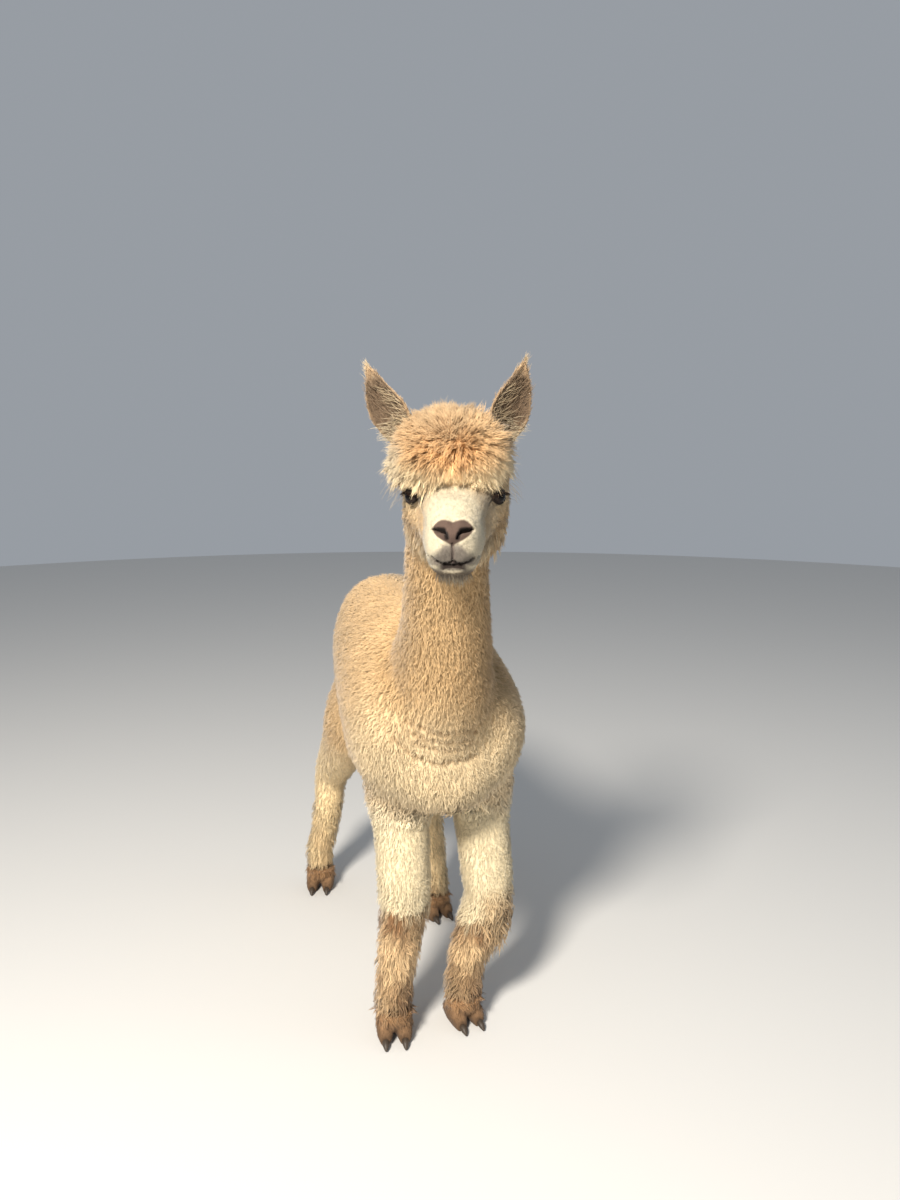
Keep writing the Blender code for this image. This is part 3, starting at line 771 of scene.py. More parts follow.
def faceColours(colours, local):
    forward, side, up = local.T
    wide, height, onMuzzle = np.abs(side), frontHeight(local), forward > markings["muzzleFrom"]
    front = np.stack([wide, height], axis=1)
    white = ease(0.056, 0.112, forward - 0.60 * wide + 0.45 * up) * ease(0.070, 0.056, up)
    # painted shade along the furrows below the eyes and over the face's left side, which is turned away from
    # the light
    furrow = ease(0.014, 0.003, np.abs(forward - 0.090 - 0.3 * up)) * ease(0.030, 0.040, wide)
    furrow = furrow * ease(0.062, 0.050, wide) * ease(-0.075, -0.045, up)
    shade = np.clip(0.75 * furrow + 0.40 * ease(0.040, 0.052, side) * ease(0.145, 0.120, forward), 0, 0.8)
    lobes = ease(1.50, 0.65, wide / (0.015 + np.clip(-0.098 - height, 0, 0.022)))
    lobes = lobes * ease(-0.088, -0.100, height) * ease(-0.131, -0.126, height)
    cleft = np.exp(-(wide / 0.0032) ** 2) * ease(-0.090, -0.098, height) * ease(-0.130, -0.124, height)
    lower = ease(-0.1255, -0.1290, height) * ease(-0.1405, -0.1345, height) * ease(0.030, 0.018, wide)
    creaseShade = lineShare(front, mouthLine, 0.0026) * (0.55 + 0.40 * ease(0.034, 0.018, wide))
    gape = ease(-0.1245, -0.1262, height) * ease(-0.1345, -0.1318, height + 0.12 * wide)
    gape = gape * ease(0.024, 0.014, wide)
    slit = np.maximum(lineShare(front, nostrilLine, 0.0026, 4), lineShare(front, nostrilDeep, 0.0042, 4))
    low = ease(-0.072, -0.090, height)[:, None]
    return washed(
        colours,
        ("cheek", 0.75 * ease(0.045, 0.075, wide) * ease(-0.010, -0.045, up)),
        ("faceSide", shortShare(local, 0.010)), ("face", white),
        ("paintedShadeHair", shade * ease(0.055, 0.075, forward)),
        ("lips", 0.92 * lobes * onMuzzle), ("cleft", 0.85 * cleft * onMuzzle),
        # the chin's underside: greyer hair, darkened further with painted shade
        ("chinHairAndShade", ease(-0.1375, -0.1450, height - 0.20 * wide) * ease(0.05, 0.10, forward)),
        # the lower lip's grey, and painted shade in the mouth's line
        ("lips", 0.9 * lower * onMuzzle, 0.6), ("mouthShade", np.maximum(creaseShade, 0.92 * gape) * onMuzzle),
        (wool["nose"] * (1 - low) + wool["noseLow"] * low, noseShare(local)),
        # painted shade inside the nostrils
        ("nostrilShade", 0.94 * slit * onMuzzle))


def legColours(colours, place):
    x, y, z = place.T
    ragged = 0.018 * np.sin(37 * x + 21 * y) + 0.012 * np.sin(83 * y - 51 * x)
    isFront, isLow, below = y < markings["frontLegs"], z < 0.5, cuffOf(place)
    low = np.where(isFront, ease(-0.010, 0.014, below + ragged * 0.3), ease(0.42, 0.16, z + ragged)) * isLow
    streak = ease(0.1, 0.9, np.sin(71 * x + 9 * z) + np.sin(63 * y - 31 * z) + np.sin(47 * z + 40 * x))
    # a band just below the front legs' clean wool, where painted shade goes
    cuff = ease(-0.004, 0.010, below) * ease(0.060, 0.020, below) * isLow
    knee = ease(0.075, 0.115, x) * ease(0.060, 0.015, np.abs(z - 0.275)) * isFront
    # the tops of the front legs under the chest's hem, where painted shade goes
    armpit = ease(0.490, 0.530, z + ragged) * ease(0.575, 0.545, z) * isFront * (y < 0.0)
    return washed(
        colours, ("lowerLeg", low * isFront), ("hindLower", low * ~isFront),
        ("legBrownAndShade", (0.42 * streak * low + 0.50 * cuff) * isFront),
        ("legBrownAndShade", 0.34 * streak * ease(0.26, 0.12, z) * ~isFront),
        ("lowerLeg", 0.85 * knee, 0.80), ("legBrownAndShade", 0.24 * armpit),
        ("mud", np.where(isFront, 0.74, 0.40) * ease(markings["mudTop"], 0.030, z + ragged)))


def crownColours(colours, local, isCrown):
    forward, side, up = local.T
    wide, inFront = np.abs(side), isCrown * ease(-0.060, -0.015, forward)
    # the front of the crown: painted light on its left side and painted shade on its right; lighter in the
    # middle
    paintedSideLight = 0.10 * ease(0.008, 0.050, side) - 0.22 * ease(0.010, 0.055, -side)
    middle = 0.60 * ease(0.026, 0.010, wide) * ease(0.090, 0.070, up)
    colours = washed(
        # the top painted darker, as painted shade against the light from above; the left side painted
        # lighter, as painted light
        colours, ("crownTopShade", isCrown * ease(0.088, 0.118, up)),
        ("crownSide", isCrown * ease(0.045, 0.065, wide) * 0.7),
        ("crownSide", isCrown * ease(-0.02, -0.06, forward) * 0.8),
        ("crownLeftLight", isCrown * ease(0.012, 0.050, side) * 0.75),
        ("fringe", ease(0.086, 0.050, up) * 0.9 * inFront),
        ("head", ease(0.100, 0.070, up) * 0.8 * (isCrown - inFront), 0.8),
        ("temple", ease(0.070, 0.084, wide) * ease(0.096, 0.078, up) * 0.8 * inFront))
    return colours * (1 + inFront * (paintedSideLight + middle))[:, None]


def eyeSurround(colours, place, onFace):
    for side in sides:
        middle, nose, up, _ = eyeFrame(side)
        far, _, past = eyeDistances(place, side)
        past = past + np.clip(far - eyeSize["radius"] - 0.008, 0, None)
        flat = (place - np.array(middle)) @ np.array([nose, up]).T
        near = (far < 0.040) & (toHead(place)[:, 1] * side > 0) & onFace
        # painted shade round each eye, under the fringe; the dark lid skin, widened with painted shade; and a
        # dark line from the eye's inner corner towards the nose
        colours = washed(colours, ("paintedShadeHair", 0.6 * ease(0.018, 0.009, past) * onFace),
                         ("eyeRimAndShade", ease(0.0085, 0.0045, past) * onFace),
                         ("eyeRimAndShade", 0.88 * lineShare(flat, [(0.016, 0.0), (0.0310, -0.0045)], 0.0036) * near))
    return colours


def earShade(place, normal, side):  # 1 inside the ear, 0 on its rim and its back
    root, axis, hollow, across = (np.array(part) for part in earFrame(side))
    along = (place - root) @ axis / earSize["length"]
    wide = np.interp(along, *zip(*earSize["outline"])) * earSize["halfWidth"]
    bent = side * earSize["bend"] * (np.array(headLeft) @ across)
    off = np.abs((place - root) @ across + bent * along ** 2) / wide.clip(0.004)
    return (normal @ hollow > 0.15) * (0.10 + 0.86 * ease(1.04, 0.84, off) * ease(0.96, 0.70, along))


def tintsOf(mesh, owner):
    place = points(mesh)
    x, y, z = place.T
    base = {n: "upperLeg" if "front" in n else "hindLeg" for n in legNames}
    base.update({n: "foot" for n in footNames} | {n: "earBack" for n in earNames} | {"lid": "face"})
    colours = np.array([wool[base.get(n, n)] for n in skinNames])[owner]
    onTrunk, onFace, onFoot = owns(owner, "trunk"), owns(owner, "head", "lid"), owns(owner, *footNames)
    low = ease(0.850, 0.640, z + 0.012 * np.sin(41 * x))
    colours = washed(
        colours, ("chest", (onTrunk | owns(owner, "neck")) * ease(-0.02, -0.25, y) * low),
        ("brisket", onTrunk * ease(0.555, 0.515, z) * (y < 0.1)),
        ("trunk", owns(owner, *legNames[2:]) * ease(0.36, 0.60, z)))
    colours = spread(colours, ends(mesh), 12, where=owner < len(bodyNames))
    colours = crownColours(colours, toHead(place), owns(owner, "topknot"))
    # painted shade along the wool's creases round the neck's base
    colours = washed(colours, ("creaseShade", 0.44 * creaseShare(place, markings["creaseWidth"])))
    colours = np.where(onFace[:, None], faceColours(colours, toHead(place)), colours)
    colours = eyeSurround(colours, place, onFace)
    for side, name in zip(sides, earNames):
        colours = washed(colours, ("earInside", earShade(place, normals(mesh), side) * owns(owner, name)))
    colours = washed(colours, ("footTop", onFoot * ease(0.012, 0.065, z)))
    return np.where(onFoot[:, None], colours, legColours(colours, place))


skinPlaces, skinNormals = points(skin.data), normals(skin.data)
skinPart = partsOf(skinPlaces, skinOwner)
tubeShapes = measureTubes(skinPlaces, skinOwner)
skinTints = tintsOf(skin.data, skinOwner)


def markSkin(mesh):
    pairs, body = ends(mesh), skinOwner < len(bodyNames)
    lies = spread(liesOf(skinPlaces, skinNormals, skinPart), pairs, 8, where=body)
    fluff = spread(fluffOf(skinPlaces, skinPart), pairs, 8, where=body)
    corner = column(mesh.loops, "vertex_index", 1, np.int32)
    total, start = (column(mesh.polygons, key, 1, np.int32) for key in ("loop_total", "loop_start"))
    face = np.repeat(np.arange(len(total)), total)
    centre = column(mesh.polygons, "center", 3).astype(float)
    flat = unwrapped(skinPlaces[corner], tubeOf(skinOwner)[corner[start]][face], centre[face])
    writeAttribute(mesh, "part", "INT", skinPart[corner[start]], "FACE")
    writeAttribute(mesh, "lie", "FLOAT_VECTOR", lies)
    writeAttribute(mesh, "fluff", "FLOAT", fluff)
    writeAttribute(mesh, "tint", "FLOAT_VECTOR", skinTints)
    writeAttribute(mesh, "rootUv", "FLOAT2", flat, "CORNER")


markSkin(skin.data)
print("skin marked:", {name: int((skinPart == k).sum()) for k, name in enumerate(partNames)})


# Finishes

def fill(tree, node, values):  # a socket is linked and anything else is set
    for key, value in values.items():
        if isinstance(value, bpy.types.NodeSocket):
            tree.links.new(value, node.inputs[key])
        else:
            node.inputs[key].default_value = value


def addNode(tree, kind, values=(), **settings):
    node = tree.nodes.new(kind)
    for key, value in settings.items():
        setattr(node, key, value)
    fill(tree, node, dict(values))
    return node


def inUse(sockets, kind):  # the places of a node's sockets of one type
    return [k for k, socket in enumerate(sockets) if socket.type == kind and socket.enabled]


def blended(tree, kind, factor, a, b):
    node = addNode(tree, "ShaderNodeMix", {"Factor": factor}, data_type=kind)
    fill(tree, node, dict(zip(inUse(node.inputs, kind), (a, b))))
    return node.outputs[inUse(node.outputs, kind)[0]]


def newFinish(name, roughness, specular=0.3, sheen=0.0):
    finish = bpy.data.materials.new(name)
    finish.use_nodes = True
    tree = finish.node_tree
    shader = tree.nodes["Principled BSDF"]
    fill(tree, shader, {"Roughness": roughness, "Specular IOR Level": specular, "Sheen Weight": sheen,
                        "Sheen Roughness": 0.5})
    return finish, tree, shader


def scaledColour(tree, colour, share):
    return addNode(tree, "ShaderNodeVectorMath", {0: colour, "Scale": share}, operation="SCALE").outputs[0]


def rescaled(tree, value, low, high, fromLow=0.0, fromHigh=1.0):
    limits = {"From Min": fromLow, "From Max": fromHigh, "To Min": low, "To Max": high}
    return addNode(tree, "ShaderNodeMapRange", {"Value": value, **limits}).outputs["Result"]


def noise(tree, scale, detail=2.0, roughness=0.5):
    where = addNode(tree, "ShaderNodeTexCoord").outputs["Object"]
    size = {"Scale": scale, "Detail": detail, "Roughness": roughness}
    return addNode(tree, "ShaderNodeTexNoise", {"Vector": where, **size}).outputs["Fac"]


def bumpOf(tree, height, strength, distance):
    size = {"Strength": strength, "Distance": distance}
    return addNode(tree, "ShaderNodeBump", {"Height": height, **size}).outputs["Normal"]


def attribute(tree, name, kind="Vector"):
    return addNode(tree, "ShaderNodeAttribute", attribute_name=name).outputs[kind]


def skinFinish():
    finish, tree, shader = newFinish("skinWool", 0.85, 0.15, 0.04)
    grain = noise(tree, 420.0, 3.0)
    colour = scaledColour(tree, attribute(tree, "tint"), rescaled(tree, grain, 0.66, 1.06))
    fill(tree, shader, {"Base Color": colour, "Normal": bumpOf(tree, grain, 0.5, 0.0012)})
    return finish


def lockFinish(name, paintedRootShade, tipShade, lockLow=0.90, lockHigh=1.06, sheen=0.2):
    finish, tree, shader = newFinish(name, 0.88, 0.15, sheen)
    colour = attribute(tree, "tint")
    # the strands are darker towards their roots, as painted shade deep in the coat, and lighter towards their
    # tips
    for share in (rescaled(tree, attribute(tree, "along", "Fac"), paintedRootShade, tipShade),
                  rescaled(tree, attribute(tree, "shade", "Fac"), 0.86, 1.10, -1.0, 1.0),
                  rescaled(tree, attribute(tree, "lockShade", "Fac"), lockLow, lockHigh),
                  rescaled(tree, noise(tree, 9.0, 3.0), 0.86, 1.10, 0.3, 0.7)):
        colour = scaledColour(tree, colour, share)
    fill(tree, shader, {"Base Color": colour})
    return finish


skin.data.materials.clear()
skin.data.materials.append(skinFinish())
# the darker roots in each finish are painted shade between the locks, strongest on the brisket, legs and
# cheeks
finishes = {name: lockFinish(name, *shades) for name, *shades in [
    ("fleeceLocks", 0.72, 1.12), ("legLocks", 0.60, 1.12, 0.70, 1.18), ("cheekLocks", 0.58, 1.16, 0.74, 1.18),
    ("shortHair", 0.78, 1.08, 0.80, 1.10), ("crownLocks", 0.84, 1.08, 0.86, 1.10),
    ("brisketLocks", 0.50, 1.22, 0.70, 1.24), ("darkLashes", 0.9, 1.0, 0.90, 1.06, 0.0),
]}


# Strands: closed three-sided tubes that taper to a point

strandFlat = 0.75   # how thick a strand is, as a share of its width
patchSize = 0.003   # how much of the unwrap one strand takes


def tubeArrays(paths, radii, ups):
    count, knots, _ = paths.shape
    along = unit(np.gradient(paths, axis=1))
    across = unit(np.cross(along, ups[:, None, :]))
    rise, corners = np.cross(along, across), []
    for turn in (math.pi / 2 + k * 2 * math.pi / 3 for k in range(3)):
        way = math.cos(turn) * across[:, :-1] + math.sin(turn) * strandFlat * rise[:, :-1]
        corners.append(paths[:, :-1] + radii[:, :-1, None] * way)
    rings = np.stack(corners, axis=2).reshape(count, (knots - 1) * 3, 3)
    verts = np.concatenate([rings, paths[:, -1:]], axis=1)
    edges = [(3 * j + k, 3 * j + (k + 1) % 3) for j in range(knots - 1) for k in range(3)]
    faces = [(0, 2, 1)] + [f for a, b in edges[:-3] for f in ((a, b, b + 3), (a, b + 3, a + 3))]
    faces = np.array(faces + [(a, b, 3 * (knots - 1)) for a, b in edges[-3:]])
    perStrand = verts.shape[1]
    faces = faces[None] + (np.arange(count) * perStrand)[:, None, None]
    share = np.concatenate([np.repeat(np.arange(knots - 1) / (knots - 1), 3), [1.0]])
    return verts.reshape(-1, 3), faces.reshape(-1, 3), np.tile(share, count), perStrand


def strandMesh(name, sets):  # each set is paths, radii, ups, shades and places on the patch
    parts, start = [], 0
    for paths, radii, ups, shades, flats in sets:
        verts, faces, along, per = tubeArrays(paths, radii, ups)
        side = np.tile(np.append(np.tile([0.0, 0.5, 1.0], (per - 1) // 3), 0.5), len(paths))
        across = np.repeat(flats[:, 0], per) + side * np.repeat(flats[:, 1], per)
        patch = np.stack([across, along, 0 * along], axis=1)
        parts.append((verts, faces + start, along, np.repeat(shades, per), patch))
        start += len(verts)
    verts, faces, along, shade, patch = (np.concatenate(kind) for kind in zip(*parts))
    mesh = bpy.data.meshes.new(name)
    mesh.from_pydata(verts.astype(np.float32), [], faces)
    mesh.shade_smooth()
    writeAttribute(mesh, "along", "FLOAT", along)
    writeAttribute(mesh, "shade", "FLOAT", shade)
    writeAttribute(mesh, "patch", "FLOAT_VECTOR", patch)
    return mesh


# A few locks of each kind, from which the coat is laid. Z is out of the skin and X the way the wool lies

lockKinds = {
    # sizes are for the trunk, in metres, and strands are pairs of knots and how many
    "fleece": {"variants": 14, "strands": ((3, 4), (2, 3)), "height": 0.0108, "reach": 0.0120, "root": 0.0066,
               "radius": 0.00104, "gather": 0.44, "wave": 0.0018},
    "shag": {"variants": 10, "strands": ((4, 4), (2, 6)), "height": 0.0120, "reach": 0.0280, "root": 0.0088,
             "radius": 0.00130, "gather": 0.58, "wave": 0.0036},
    "curl": {"variants": 10, "strands": ((5, 4), (3, 5)), "height": 0.0125, "reach": 0.0200, "root": 0.0084,
             "radius": 0.00130, "gather": 0.52, "wave": 0.0044},
    "fuzz": {"variants": 6, "strands": ((2, 7),), "height": 0.0060, "reach": 0.0190, "root": 0.0095,
             "radius": 0.0012, "gather": 0.15, "wave": 0.0},
}


lockSink = 0.0015  # how deep the locks stand in the skin
goldenTurn = 2.4    # from one strand's root to the next


def lockStrands(size, knots, n):
    turn = np.arange(n) * goldenTurn + rng.uniform(0, 6.28)
    far = size["root"] * np.sqrt((np.arange(n) + 0.5) / n) * rng.uniform(0.8, 1.1, n)
    root = np.stack([np.cos(turn) * far, np.sin(turn) * far, np.full(n, -lockSink)], axis=1)
    t = np.linspace(0, 1, knots)[None, :, None]
    tall = (size["height"] * rng.uniform(0.65, 1.10, n))[:, None, None]
    long = (size["reach"] * rng.uniform(0.80, 1.20, n))[:, None, None]
    bend, phase = rng.uniform(-1, 1, (n, 1, 1)), rng.uniform(0, 6.28, (n, 1, 1))
    path = root[:, None] * (1 - size["gather"] * t)
    path = path + t ** 1.25 * long * [1, 0, 0] + (1 - (1 - t) ** 1.9) * tall * [0, 0, 1]
    path = path + np.sin(5.5 * t + phase) * size["wave"] * [0, 1, 0.4] + t * t * bend * 0.003 * [0, 1, 0]
    thick = size["radius"] * np.interp(np.linspace(0, 1, knots), [0, 0.5, 1], [0.95, 1.0, 0])
    radii = thick[None] * rng.uniform(0.75, 1.2, (n, 1))
    flats = np.stack([np.arange(n) / n, np.full(n, 0.8 / n)], axis=1)
    return path, radii, np.tile([0.0, 0.0, 1.0], (n, 1)), rng.uniform(-1, 1, n), flats


def makeLocks(kind, size):
    group = bpy.data.collections.new(kind)
    for _ in range(size["variants"]):
        mesh = strandMesh("lock", [lockStrands(size, knots, n) for knots, n in size["strands"]])
        group.objects.link(bpy.data.objects.new("lock", mesh))
    return group


lockGroups = {kind: makeLocks(kind, size) for kind, size in lockKinds.items()}


# The tree that lays them: spread over one part of the skin, turned the way its wool lies, and made real

coatInputs = {
    "Skin": "Geometry", "Part": "Int", "Spacing": "Float", "Smallest": "Float", "Largest": "Float",
    "Turn": "Float", "Lean": "Float", "Roundness": "Float", "Patch": "Float", "Seed": "Int",
    "Locks": "Collection", "Finish": "Material",
}


def makeCoatTree():
    tree = bpy.data.node_groups.new("layCoat", "GeometryNodeTree")
    for name, kind in coatInputs.items():
        tree.interface.new_socket(name, in_out="INPUT", socket_type="NodeSocket" + kind)
    tree.interface.new_socket("Coat", in_out="OUTPUT", socket_type="NodeSocketGeometry")
    wanted = tree.nodes.new("NodeGroupInput").outputs

    def node(kind, values, **settings):
        return addNode(tree, kind, values, **settings).outputs[0]

    def named(name, kind):
        return node("GeometryNodeInputNamedAttribute", {"Name": name}, data_type=kind)

    def stored(geometry, name, kind, value, domain="POINT"):
        values = {"Geometry": geometry, "Name": name, "Value": value}
        return node("GeometryNodeStoreNamedAttribute", values, data_type=kind, domain=domain)

    def scalar(operation, a, b):
        return node("ShaderNodeMath", {0: a, 1: b}, operation=operation)

    def random(low, high, shift):
        seed = scalar("ADD", wanted["Seed"], float(shift))
        made = addNode(tree, "FunctionNodeRandomValue", {"Seed": seed}, data_type="FLOAT")
        fill(tree, made, dict(zip(inUse(made.inputs, "VALUE"), (low, high))))
        return made.outputs[inUse(made.outputs, "VALUE")[0]]

    def swing(name, shift):
        return random(scalar("MULTIPLY", wanted[name], -1.0), wanted[name], shift)

    same = addNode(tree, "FunctionNodeCompare", data_type="INT", operation="EQUAL")
    fill(tree, same, dict(zip(inUse(same.inputs, "INT"), (named("part", "INT"), wanted["Part"]))))
    area = scalar("MULTIPLY", wanted["Spacing"], wanted["Spacing"])
    seeds = addNode(tree, "GeometryNodeDistributePointsOnFaces", distribute_method="POISSON")
    fill(tree, seeds, {"Mesh": wanted["Skin"], "Selection": same.outputs["Result"],
                       "Distance Min": wanted["Spacing"], "Density Max": scalar("DIVIDE", 4.0, area),
                       "Seed": wanted["Seed"]})
    normal = seeds.outputs["Normal"]
    dots = stored(seeds.outputs["Points"], "rootNormal", "FLOAT_VECTOR", normal)
    dots = stored(dots, "lockShade", "FLOAT", random(0.0, 1.0, 1))
    facing = node("FunctionNodeAxesToRotation",
                  {"Primary Axis": normal, "Secondary Axis": named("lie", "FLOAT_VECTOR")},
                  primary_axis="Z", secondary_axis="X")
    swings = {"X": swing("Lean", 2), "Y": swing("Lean", 3), "Z": swing("Turn", 4)}
    angles = node("FunctionNodeEulerToRotation", {0: node("ShaderNodeCombineXYZ", swings)})
    turned = node("FunctionNodeRotateRotation", {0: facing, 1: angles}, rotation_space="LOCAL")
    library = node("GeometryNodeCollectionInfo", {"Collection": wanted["Locks"], "Separate Children": True})
    scale = scalar("MULTIPLY", named("fluff", "FLOAT"), random(wanted["Smallest"], wanted["Largest"], 5))
    placed = node("GeometryNodeInstanceOnPoints", {"Points": dots, "Instance": library, "Pick Instance": True,
                                                   "Rotation": turned, "Scale": scale})
    coat = node("GeometryNodeRealizeInstances", {"Geometry": placed})
    patch = node("ShaderNodeVectorMath", {0: named("patch", "FLOAT_VECTOR"), "Scale": wanted["Patch"]},
                 operation="SCALE")
    flat = node("ShaderNodeVectorMath", {0: named("rootUv", "FLOAT_VECTOR"), 1: patch}, operation="ADD")
    coat = stored(coat, "OFBake", "FLOAT2", flat, "CORNER")
    soft = blended(tree, "VECTOR", wanted["Roundness"], node("GeometryNodeInputNormal", {}),
                   named("rootNormal", "FLOAT_VECTOR"))
    soft = node("ShaderNodeVectorMath", {0: soft}, operation="NORMALIZE")
    coat = node("GeometryNodeSetMeshNormal", {"Mesh": coat, "Custom Normal": soft},
                mode="FREE", domain="POINT")
    coat = node("GeometryNodeSetMaterial", {"Geometry": coat, "Material": wanted["Finish"]})
    addNode(tree, "NodeGroupOutput", {0: coat})
    return tree


coatTree = makeCoatTree()
socketIds = {item.name: item.identifier for item in coatTree.interface.items_tree if item.in_out == "INPUT"}
coatVaries = {"Smallest": 0.80, "Largest": 1.20, "Turn": 0.42, "Lean": 0.16, "Patch": patchSize}
coatPieces = []


def addPiece(name, slot, mesh):
    piece = newObject(name, mesh)
    piece["slotName"] = slot
    coatPieces.append(piece)
    print(f"{name}: {len(mesh.polygons)} faces")


def layCoat(name, part, slot, kind, finish, spacing, roundness, seed):
    holder = newObject(name, skin.data)
    modifier = holder.modifiers.new("layCoat", "NODES")
    modifier.node_group = coatTree
    for key, value in {"Part": partNames.index(part), "Spacing": spacing, "Roundness": roundness,
                       "Seed": seed, "Locks": lockGroups[kind], "Finish": finishes[finish],
                       **coatVaries}.items():
        modifier[socketIds[key]] = value
    mesh = evaluatedMesh(holder)
    bpy.data.objects.remove(holder, do_unlink=True)
    for spare in ("part", "lie", "fluff", "rootUv", "rootNormal", "patch"):
        if spare in mesh.attributes:
            mesh.attributes.remove(mesh.attributes[spare])
    mesh.name = name
    addPiece(name, slot, mesh)


coatLayers = [
    # name, part, slot, kind of lock, finish, spacing, roundness
    ("fleeceFrontRight", "trunkFrontRight", "fleece", "fleece", "fleeceLocks", 0.0068, 0.62),
    ("fleeceFrontLeft", "trunkFrontLeft", "fleece", "fleece", "fleeceLocks", 0.0068, 0.62),
    ("fleeceRearRight", "trunkRearRight", "fleece", "fleece", "fleeceLocks", 0.0090, 0.62),
    ("fleeceRearLeft", "trunkRearLeft", "fleece", "fleece", "fleeceLocks", 0.0090, 0.62),
    ("neckFleeceRight", "neckRight", "fleece", "fleece", "fleeceLocks", 0.0070, 0.64),
    ("neckFleeceLeft", "neckLeft", "fleece", "fleece", "fleeceLocks", 0.0070, 0.64),
    ("frontLegWool", "frontLegs", "legs", "fleece", "fleeceLocks", 0.0066, 0.60),
    ("frontShinWool", "frontShins", "legs", "shag", "legLocks", 0.0094, 0.50),
    ("hindLegWool", "hindLegs", "legs", "fleece", "fleeceLocks", 0.0080, 0.60),
    ("hindShinWool", "hindShins", "legs", "shag", "legLocks", 0.0098, 0.50),
    ("tailWool", "tail", "fleece", "shag", "fleeceLocks", 0.0110, 0.55),
    ("brisketWool", "brisket", "fleece", "curl", "brisketLocks", 0.0112, 0.40),
    ("cheekWool", "cheeks", "face", "fleece", "cheekLocks", 0.0062, 0.62),
    ("faceHair", "face", "face", "fuzz", "shortHair", 0.0034, 0.65),
    ("earHair", "ears", "ears", "fuzz", "shortHair", 0.0042, 0.15),
    ("footHair", "feet", "legs", "fuzz", "legLocks", 0.0060, 0.45),
]
for k, layer in enumerate(coatLayers):
    layCoat(*layer, seed=k)


# Long strands in clumps: each clump has a path, and its strands close in on it towards their tips

strandSize = {
    "crown": {"spacing": 0.0060, "strands": 15, "knots": 4, "length": (0.014, 0.025),
              "height": (0.015, 0.0255), "root": 0.0074, "radius": 0.00074, "gather": 0.36, "wave": 0.0032},
    "fringe": {"spacing": 0.0056, "strands": 11, "knots": 5, "length": (0.016, 0.028),
               "height": (0.008, 0.020), "root": 0.0050, "radius": 0.00072, "gather": 0.50, "wave": 0.0026},
    "flyaway": {"spacing": 0.0140, "strands": 2, "knots": 6, "length": (0.008, 0.022),
                "height": (0.022, 0.036), "root": 0.0030, "radius": 0.00028, "gather": -1.2, "wave": 0.0030},
    "jaw": {"spacing": 0.0080, "strands": 7, "knots": 5, "length": (0.013, 0.027), "height": (0.005, 0.011),
            "root": 0.0040, "radius": 0.00062, "gather": 0.62, "wave": 0.0012},
    "bristle": {"spacing": 0.0042, "strands": 3, "knots": 4, "length": (0.007, 0.018),
                "height": (0.004, 0.009), "root": 0.0018, "radius": 0.00040, "gather": 0.0, "wave": 0.0006},
}
strandSink, strandStray = 0.002, 0.0016
nearCells = [(a - 1, b - 1, c - 1) for a, b, c in np.ndindex(3, 3, 3)]


def scatter(chosen, spacing):  # places over the chosen faces of the skin, no two nearer than the spacing
    mesh = skin.data
    mesh.calc_loop_triangles()
    tris = column(mesh.loop_triangles, "vertices", 3, np.int32)
    area = column(mesh.loop_triangles, "area", 1).astype(float) * chosen[tris[:, 0]]
    count = int(area.sum() / spacing ** 2 * 5)
    pick = rng.choice(len(tris), count, p=area / area.sum())
    u, v = rng.random((2, count))
    u, v = np.where(u + v > 1, 1 - u, u), np.where(u + v > 1, 1 - v, v)
    share = np.stack([1 - u - v, u, v], axis=1)
    places = np.einsum("nk,nkj->nj", share, skinPlaces[tris][pick])
    taken, kept = {}, []
    for i, key in enumerate(map(tuple, np.floor(places / spacing).astype(int))):
        cells = ((key[0] + a, key[1] + b, key[2] + c) for a, b, c in nearCells)
        near = [taken[cell] for cell in cells if cell in taken]
        if all(np.sum((places[i] - places[j]) ** 2) > spacing ** 2 for j in near):
            taken[key] = i
            kept.append(i)
    blend = lambda values: np.einsum("nk,nkj->nj", share[kept], values[tris[pick[kept]]])
    return places[kept], blend(skinNormals), blend(skinTints)


def raisedPaths(roots, ups, ways, lengths, heights, knots):  # straight up out of the skin and then over
    t = np.linspace(0, 1, knots)[None, :, None]
    rise = ups[:, None] * heights[:, None, None] * (1 - (1 - t) ** 1.5)
    return roots[:, None] + rise + ways[:, None] * lengths[:, None, None] * t ** 1.7


def clumpStrands(paths, ups, size):  # every clump's path becomes several strands round it
    n, knots, m = len(paths), size["knots"], size["strands"]
    across = unit(np.cross(ups, paths[:, 1] - paths[:, 0]))
    forth = np.cross(across, ups)
    turn = ((np.arange(m) * goldenTurn)[None] + rng.uniform(0, 6.28, (n, 1)))[..., None]
    far = size["root"] * np.sqrt((np.arange(m) + 0.4) / m)[None] * rng.uniform(0.8, 1.15, (n, m))
    far = far[..., None]
    away = np.cos(turn) * across[:, None] * far + np.sin(turn) * forth[:, None] * far
    t = np.linspace(0, 1, knots)
    share = np.clip(t * rng.uniform(0.78, 1.0, (n, m, 1)), 0, 1) * (knots - 1)
    low, rows = np.minimum(share.astype(int), knots - 2), np.arange(n)[:, None, None]
    part = (share - low)[..., None]
    middle = paths[rows, low] * (1 - part) + paths[rows, low + 1] * part
    phase, rate = rng.uniform(0, 6.28, (n, 1, 1)), rng.uniform(7, 12, (n, m, 1))
    wave = (size["wave"] * np.sin(rate * t + phase) * t)[..., None] * across[:, None, None]
    shrink = 1 - size["gather"] * t[:, None] ** 0.8
    stray = rng.normal(0, strandStray, (n, m, 1, 3)) * t[:, None]
    taper = np.interp(t, [0, 0.4, 0.8, 1], [0.9, 1, 0.7, 0])
    radii = size["radius"] * rng.uniform(0.7, 1.2, (n, m, 1)) * taper
    strands = middle + away[:, :, None] * shrink + wave + stray
    return strands.reshape(n * m, knots, 3), radii.reshape(n * m, knots)


